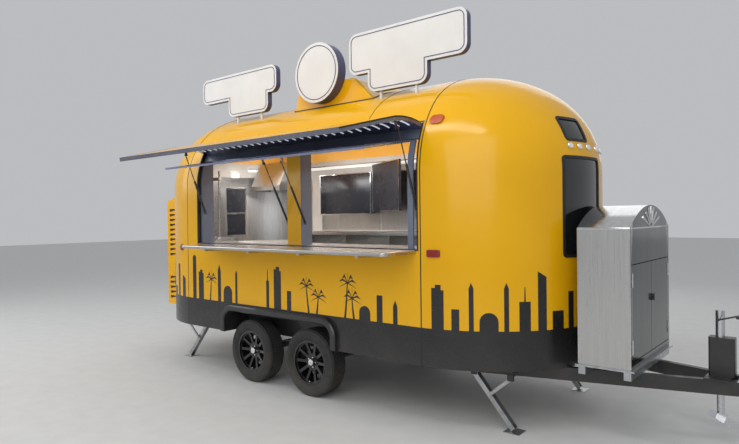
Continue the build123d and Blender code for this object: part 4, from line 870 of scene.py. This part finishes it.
light_span = (rear_axis_x - 1.15, seam_front_x - 0.05)
light_foot, light_top = run_at(2.305), run_at(2.345)
laid("far_wall_light", 1, [(light_span, (light_foot, light_top), on_lining(0.028))], "sign_face", strip_light)
laid("far_wall_light_rail", 1, [(light_span, (light_top + 0.001, light_top + 0.013), on_lining(0.034))],
     "frame_aluminium", chrome)
sheet_width = 0.245
cladding_top = run_at(2.215)
cladding = []
for index in range(6):
    start = rear_axis_x - 0.16 - index * (sheet_width + 0.004)
    cladding.append(((start - sheet_width, start), (run_at(1.34), cladding_top), on_lining(0.004)))
for start, width in ((-1.34, 1.02), (-0.31, 0.66), (0.36, 0.46)):
    cladding.append(((start, start + width), (run_at(1.48), cladding_top), on_lining(0.004)))
laid("back_cladding", 1, cladding, "stainless_sheet", upright_stainless)
oven_span = (rear_axis_x - 1.455, rear_axis_x - 1.185)
oven_foot = run_at(1.42)
laid("rear_oven_glass", 1, [(oven_span, (run_at(1.725), run_at(2.050)), on_lining(0.022, 0.004)),
                            (oven_span, (oven_foot, run_at(1.700)), on_lining(0.016, 0.004))],
     "black_plastic", screen_glass)
trim_half = 0.005
trim_span = (oven_span[0] - 2 * trim_half, oven_span[1] + 2 * trim_half)
oven_trim = [(trim_span, (run_at(z) - trim_half, run_at(z) + trim_half), on_lining(0.026, 0.004))
             for z in (1.708, 2.062)]
oven_trim += [((along - trim_half, along + trim_half), (oven_foot, run_at(2.067)), on_lining(0.026, 0.004))
              for along in trim_span]
laid("rear_oven_trim", 1, oven_trim, "frame_aluminium", chrome)
laid("rear_lamp_boxes", 1, [((along - width, along), (run_at(2.225), run_at(2.295)), on_lining(0.070))
                            for along, width in ((rear_axis_x - 0.62, 0.20), (rear_axis_x - 1.30, 0.12))],
     "sign_face", strip_light)
flat_screen = ((-1.23, 1.68), (-0.36, 2.20), 0.860)         # low and high corner, and its face
turned_screen = ((-0.335, 1.71), (0.465, 2.29), 0.870)
screen_thick = 0.030
screen_hinge = (-0.335, 0.900, 0)
screen_turn = Matrix.Rotation(radians(-29), 3, "Z")
screens = bmesh.new()
for (low, high, y), edge in ((flat_screen, 0.004), (turned_screen, 0.0)):
    pane = slab(screens, (low[0], y, low[1]), (high[0], y + screen_thick, high[1]), edge)
bmesh.ops.rotate(screens, verts=pane, cent=screen_hinge, matrix=screen_turn)
fitted("menu_screens", screens, "root", "black_plastic", screen_glass)


def edge_bars(mesh, low, high, y):
    """Four thin bars round a flat screen's face."""
    wide, proud, sunk = 0.008, 0.003, 0.001
    made = []
    for x in (low[0], high[0] - wide):
        made += slab(mesh, (x, y - proud, low[1]), (x + wide, y + sunk, high[1]))
    for z in (low[1], high[1] - wide):
        made += slab(mesh, (low[0] + wide, y - proud, z), (high[0] - wide, y + sunk, z + wide))
    return made


screen_edges = bmesh.new()
edge_bars(screen_edges, *flat_screen)
turned_edges = edge_bars(screen_edges, *turned_screen)
bmesh.ops.rotate(screen_edges, verts=turned_edges, cent=screen_hinge, matrix=screen_turn)
fitted("screen_edges", screen_edges, "root", "frame_aluminium", chrome)
brackets = bmesh.new()
slab(brackets, (-1.0, 0.885, 1.80), (-0.60, 1.004, 2.00), 0.004)
slab(brackets, (-0.30, 0.870, 1.86), (-0.22, 1.004, 1.97), 0.004)
fitted("screen_brackets", brackets, "root", "black_steel", black_steel)

# Entry door: a leaf of the same moulding with a pane in a rubber gasket and a plated handle,
# hung on plated knuckles, with a black seal in the gap on each side.
seal_width = 0.005
seal_run = (run_at(door_low.z), run_at(2.298))
seal_starts = (door_low.x - 0.0085, door_high.x + 0.001)
laid("door_seal", 1, [((x, x + seal_width), seal_run, (-0.036, -0.004)) for x in seal_starts],
     "black_plastic", seal_black)


def on_door(x, z, stand):
    """A point on the door's flat outer face."""
    return Vector((x, half_width - 0.0005 + stand, z))


pane_low, pane_high = box_of("entry_door_window")
pane_gap = 0.004
door_gasket = bmesh.new()
frame_ring(door_gasket, (pane_low.x - pane_gap, pane_low.z - pane_gap),
           (pane_high.x + pane_gap, pane_high.z + pane_gap), 0.014, 0.004, 0.044, on_door)
fitted("door_gasket", door_gasket, "door", "black_plastic", seal_black)
paint("entry_door", chrome, lambda point, face: point.y > half_width + 0.0005)
steel_knuckles(pin_of("entry_door_hinge"), (0, 1), 0.0125, "far_wall", "entry_door")

# Rear cabinet: the same gelcoat over a housing bolted to the rear dome, with louvres cut in its
# back and sides. The floors of the recesses behind them are painted black, as painted shade.
# Painted shade: the louvre recess floors get the black seal's material.
paint("rear_cabinet", seal_black, lambda point, face: (
    (abs(point.y) < cabinet_high.y - 0.012 and abs(face.normal.y) > 0.9 and point.x < rear_low.x)
    or (cabinet_low.x + 0.010 < point.x < cabinet_low.x + 0.020 and abs(face.normal.x) > 0.9)))

# Locker: riveted brushed stainless with rolled edges, a bright arched roof and polished doors
# on plated hinges, bolted to a galvanised platform. The doors and the rest of the front face are
# painted dark, as a painted dark reflection. A fan of ribs is pressed into its gable.
roof_stainless = finish("roof_stainless", (0.62, 0.62, 0.62), (0.72, 0.72, 0.72), (0.10, 0.2), metal=1.0,
                        scale=30.0, stretch=(1, 0.05, 1))
# Painted dark reflection: stainless darkened far below its own colour, for the dark reflections on the
# locker's front.
painted_reflection_stainless = finish("painted_reflection_stainless", (0.11, 0.11, 0.115), (0.155, 0.155, 0.16), (0.08, 0.18), metal=1.0,
                        scale=8.0, stretch=(1, 1, 0.1))
galvanised = finish("galvanised", (0.42, 0.43, 0.44), (0.58, 0.59, 0.60), (0.28, 0.46), metal=1.0, scale=22.0,
                    relief=0.0003, dust_top=0.35)
locker_eaves = 1.546
hinge_stand = 0.010
gable_x = locker_high.x - hinge_stand
dress(upright_stainless, "locker")
# The locker's doors get the painted dark reflection.
dress(painted_reflection_stainless, "locker_door_far", "locker_door_serving")
paint("locker", roof_stainless, lambda point, face: point.z > locker_eaves and face.normal.z > 0.05)
# The front faces of the locker's body, facing along X, get the painted dark reflection too.
paint("locker", painted_reflection_stainless, lambda point, face: not face.material_index and face.normal.x > 0.9)
dress(galvanised, "locker_platform", *[f"steady_{kind}_{end}_{side_name}" for kind in ("leg", "brace")
                                       for end in wheel_x for side_name in sides])
rib_foot = 0.05
ribs = bmesh.new()
for index in range(7):
    angle = radians(-54 + 18 * index)
    start = Vector((gable_x, rib_foot * sin(angle), locker_eaves - 0.02 + rib_foot * cos(angle)))
    length = 0.125 if index in (2, 3, 4) else 0.11
    end = start + Vector((0, (length + 0.16 * abs(sin(angle))) * sin(angle), length * cos(angle)))
    bar(ribs, start, end, 0.007, 12, 0.010, 0.002)
fitted("gable_ribs", ribs, "root", "stainless_sheet", roof_stainless)
trims = bmesh.new()
for x in (locker_low.x, gable_x - 0.002):
    for side in (-1, 1):
        upright(trims, x, side * locker_high.y * 0.998, locker_low.z + 0.01, locker_eaves, 0.0035)
for side in (-1, 1):
    slab(trims, (locker_low.x, side * locker_high.y - 0.004, locker_eaves - 0.012),
         (gable_x, side * locker_high.y + 0.003, locker_eaves + 0.004), 0.0015)
slab(trims, (gable_x - 0.002, -locker_high.y + 0.02, locker_eaves - 0.010),
     (gable_x + 0.003, locker_high.y - 0.02, locker_eaves + 0.002), 0.001)
fitted("locker_trims", trims, "root", "stainless_sheet", roof_stainless)
for side_name in ("far", "serving"):
    steel_knuckles(pin_of(f"locker_{side_name}_hinge"), (0, 1), 0.0086, "locker", f"locker_door_{side_name}")
rivet_count = 9
rivet_margin = 0.04
rivets = bmesh.new()
for side in (-1, 1):
    for x in (locker_low.x + 0.018, gable_x - 0.022):
        for z in spaced(locker_low.z + rivet_margin, locker_eaves - rivet_margin, rivet_count):
            bar(rivets, (x, side * (locker_high.y - 0.001), z), (x, side * (locker_high.y + 0.0022), z),
                0.0045, 12, 0.003)
fitted("locker_rivets", rivets, "root", "bright_steel", bright_zinc)

# Jack and coupling: the jack's tube and leg are plated, in a clamp welded to the drawbar, and
# the coupling head is a galvanised casting, bolted on, with a black handle.
dress(black_steel, "jack")
dress(bright_zinc, "jack_leg")
dress(galvanised, "coupling")
jack_x = sum(corner.x for corner in box_of("jack_leg")) / 2
jack_tube = 0.0305
paint("jack", bright_zinc, lambda point, face: hypot(point.x - jack_x, point.y) < jack_tube)
coupling_low, coupling_high = box_of("coupling")
grip_z = coupling_high.z - 0.030
handle = bmesh.new()
upright(handle, coupling_low.x + 0.03, 0, grip_z - 0.02, grip_z + 0.022, 0.010, 16, edge=0.002)
slab(handle, (coupling_low.x + 0.01, -0.016, grip_z + 0.014),
     (coupling_low.x + 0.15, 0.016, grip_z + 0.026), 0.005)
fitted("coupling_handle", handle, "root", "black_plastic", trim_black)
bolts = bmesh.new()
for y in (-0.10, 0.10):
    for x in (coupling_low.x + 0.02, coupling_low.x + 0.07):
        upright(bolts, x, y, coupling_low.z + 0.006, coupling_low.z + 0.018, 0.011, 6, edge=0.001)
fitted("coupling_bolts", bolts, "root", "bright_steel", bright_zinc)

# Roof signs: opal faces lit from behind in dark folded returns, on white posts bolted to the
# roof. They carry nothing but a thin border inside their edge.
opal = finish("opal_face", (0.60, 0.595, 0.58), (0.65, 0.645, 0.63), (0.34, 0.46), scale=4.0, glow=0.06)
dark_return = finish("sign_return", (0.06, 0.06, 0.14), (0.09, 0.09, 0.18), (0.3, 0.4), scale=8.0)
white_paint = finish("white_paint", (0.62, 0.62, 0.62), (0.70, 0.70, 0.70), (0.35, 0.5), scale=12.0)
dress(dark_return, "sign_boards", "sign_disc")
for node in ("sign_boards", "sign_disc"):
    paint(node, opal, lambda point, face: face.normal.y < -0.9)
dress(white_paint, "sign_posts")
disc_low, disc_high = box_of("sign_disc")
disc_centre = (disc_low + disc_high) / 2
border_radius = 0.262
border_sides = 48
rim_points = [(disc_centre.x + border_radius * cos(angle), disc_low.y - 0.0015,
               disc_centre.z + border_radius * sin(angle))
              for angle in spaced(0, 2 * pi, border_sides + 1)[:-1]]
border = bmesh.new()
for start, end in zip(rim_points, rim_points[1:] + rim_points[:1]):
    bar(border, start, end, 0.004, 8)
fitted("disc_border", border, "root", "sign_face", dark_return)
border = solid_of("sign_boards")
bmesh.ops.delete(border, geom=[face for face in border.faces if face.normal.y > -0.9], context="FACES")
bmesh.ops.dissolve_faces(border, faces=border.faces)
bmesh.ops.inset_individual(border, faces=border.faces, thickness=0.024, use_even_offset=True)
inner = [face for face in border.faces if len(face.verts) > 4]
bmesh.ops.delete(border, geom=[face for face in border.faces if face not in inner], context="FACES")
rings = bmesh.ops.inset_individual(border, faces=inner, thickness=0.007, use_even_offset=True)["faces"]
bmesh.ops.delete(border, geom=[face for face in border.faces if face not in rings], context="FACES")
thickened(border, border.faces[:], -0.003)
fitted("board_borders", border, "root", "sign_face", dark_return)

# Camera, floor and studio lights, as in the photograph's view of the serving side and front.
# Three of the lights hang inside the trailer, and none of the lights is seen by the camera.
camera_data = bpy.data.cameras.new("photo_view")
camera_data.lens = 29.0
camera_data.sensor_width = 36.0
camera = placed("photo_view", camera_data)
pan, tilt, roll = (Matrix.Rotation(radians(turn), 4, axis)
                   for turn, axis in ((39.39, "Z"), (89.5, "X"), (-0.66, "Z")))
camera.matrix_world = Matrix.Translation(middle + Vector((4.314, -4.863, 1.645))) @ pan @ tilt @ roll
bpy.context.scene.camera = camera

bpy.context.scene.view_settings.view_transform = "Standard"
world = bpy.data.worlds.new("studio")
world.use_nodes = True
background = world.node_tree.nodes["Background"]
background.inputs["Color"].default_value = (0.9, 0.92, 0.95, 1)
background.inputs["Strength"].default_value = 0.55
bpy.context.scene.world = world

floor_mesh = bmesh.new()
bmesh.ops.create_grid(floor_mesh, x_segments=1, y_segments=1, size=40)
floor_data = bpy.data.meshes.new("studio_floor")
floor_mesh.to_mesh(floor_data)
floor_mesh.free()
floor_data.materials.append(finish("pale_floor", (0.62, 0.62, 0.61), (0.66, 0.66, 0.65), (0.6, 0.7)))
studio_floor = placed("studio_floor", floor_data)
lights = (      # place, aim, length, width, watts
    ("key", (4.5, -8.0, 5.0), (0, 0, 1), 7.0, 7.0, 270.0),
    ("overhead", (0.5, -3.4, 6.0), (0.5, -1.0, 2), 7.0, 0.7, 110.0),
    ("fill", (-7.0, -5.0, 5.0), (0, 0, 1), 6.0, 6.0, 190.0),
    ("back", (-1.0, 7.0, 5.5), (0, 0, 1), 6.0, 6.0, 80.0),
    ("cabin", (0.2, 0.0, 2.30), (0.2, 0.3, 1.0), 2.6, 0.3, 30.0),
    ("cabin_rear", (-1.6, 0.1, 2.25), (-1.9, 0.3, 1.4), 0.6, 0.3, 9.0),
    ("ceiling", (0.2, 0.0, 2.20), (0.2, 0.3, 2.8), 2.6, 0.3, 10.0))
for name, place, aim, length, width, power in lights:
    lamp_data = bpy.data.lights.new(name, "AREA")
    lamp_data.shape = "RECTANGLE"
    lamp_data.size = length
    lamp_data.size_y = width
    lamp_data.energy = power
    lamp = placed(name, lamp_data)
    lamp.location = Vector(place) + middle
    lamp.rotation_euler = (Vector(aim) - Vector(place)).to_track_quat("-Z", "Y").to_euler()
    lamp.visible_camera = False
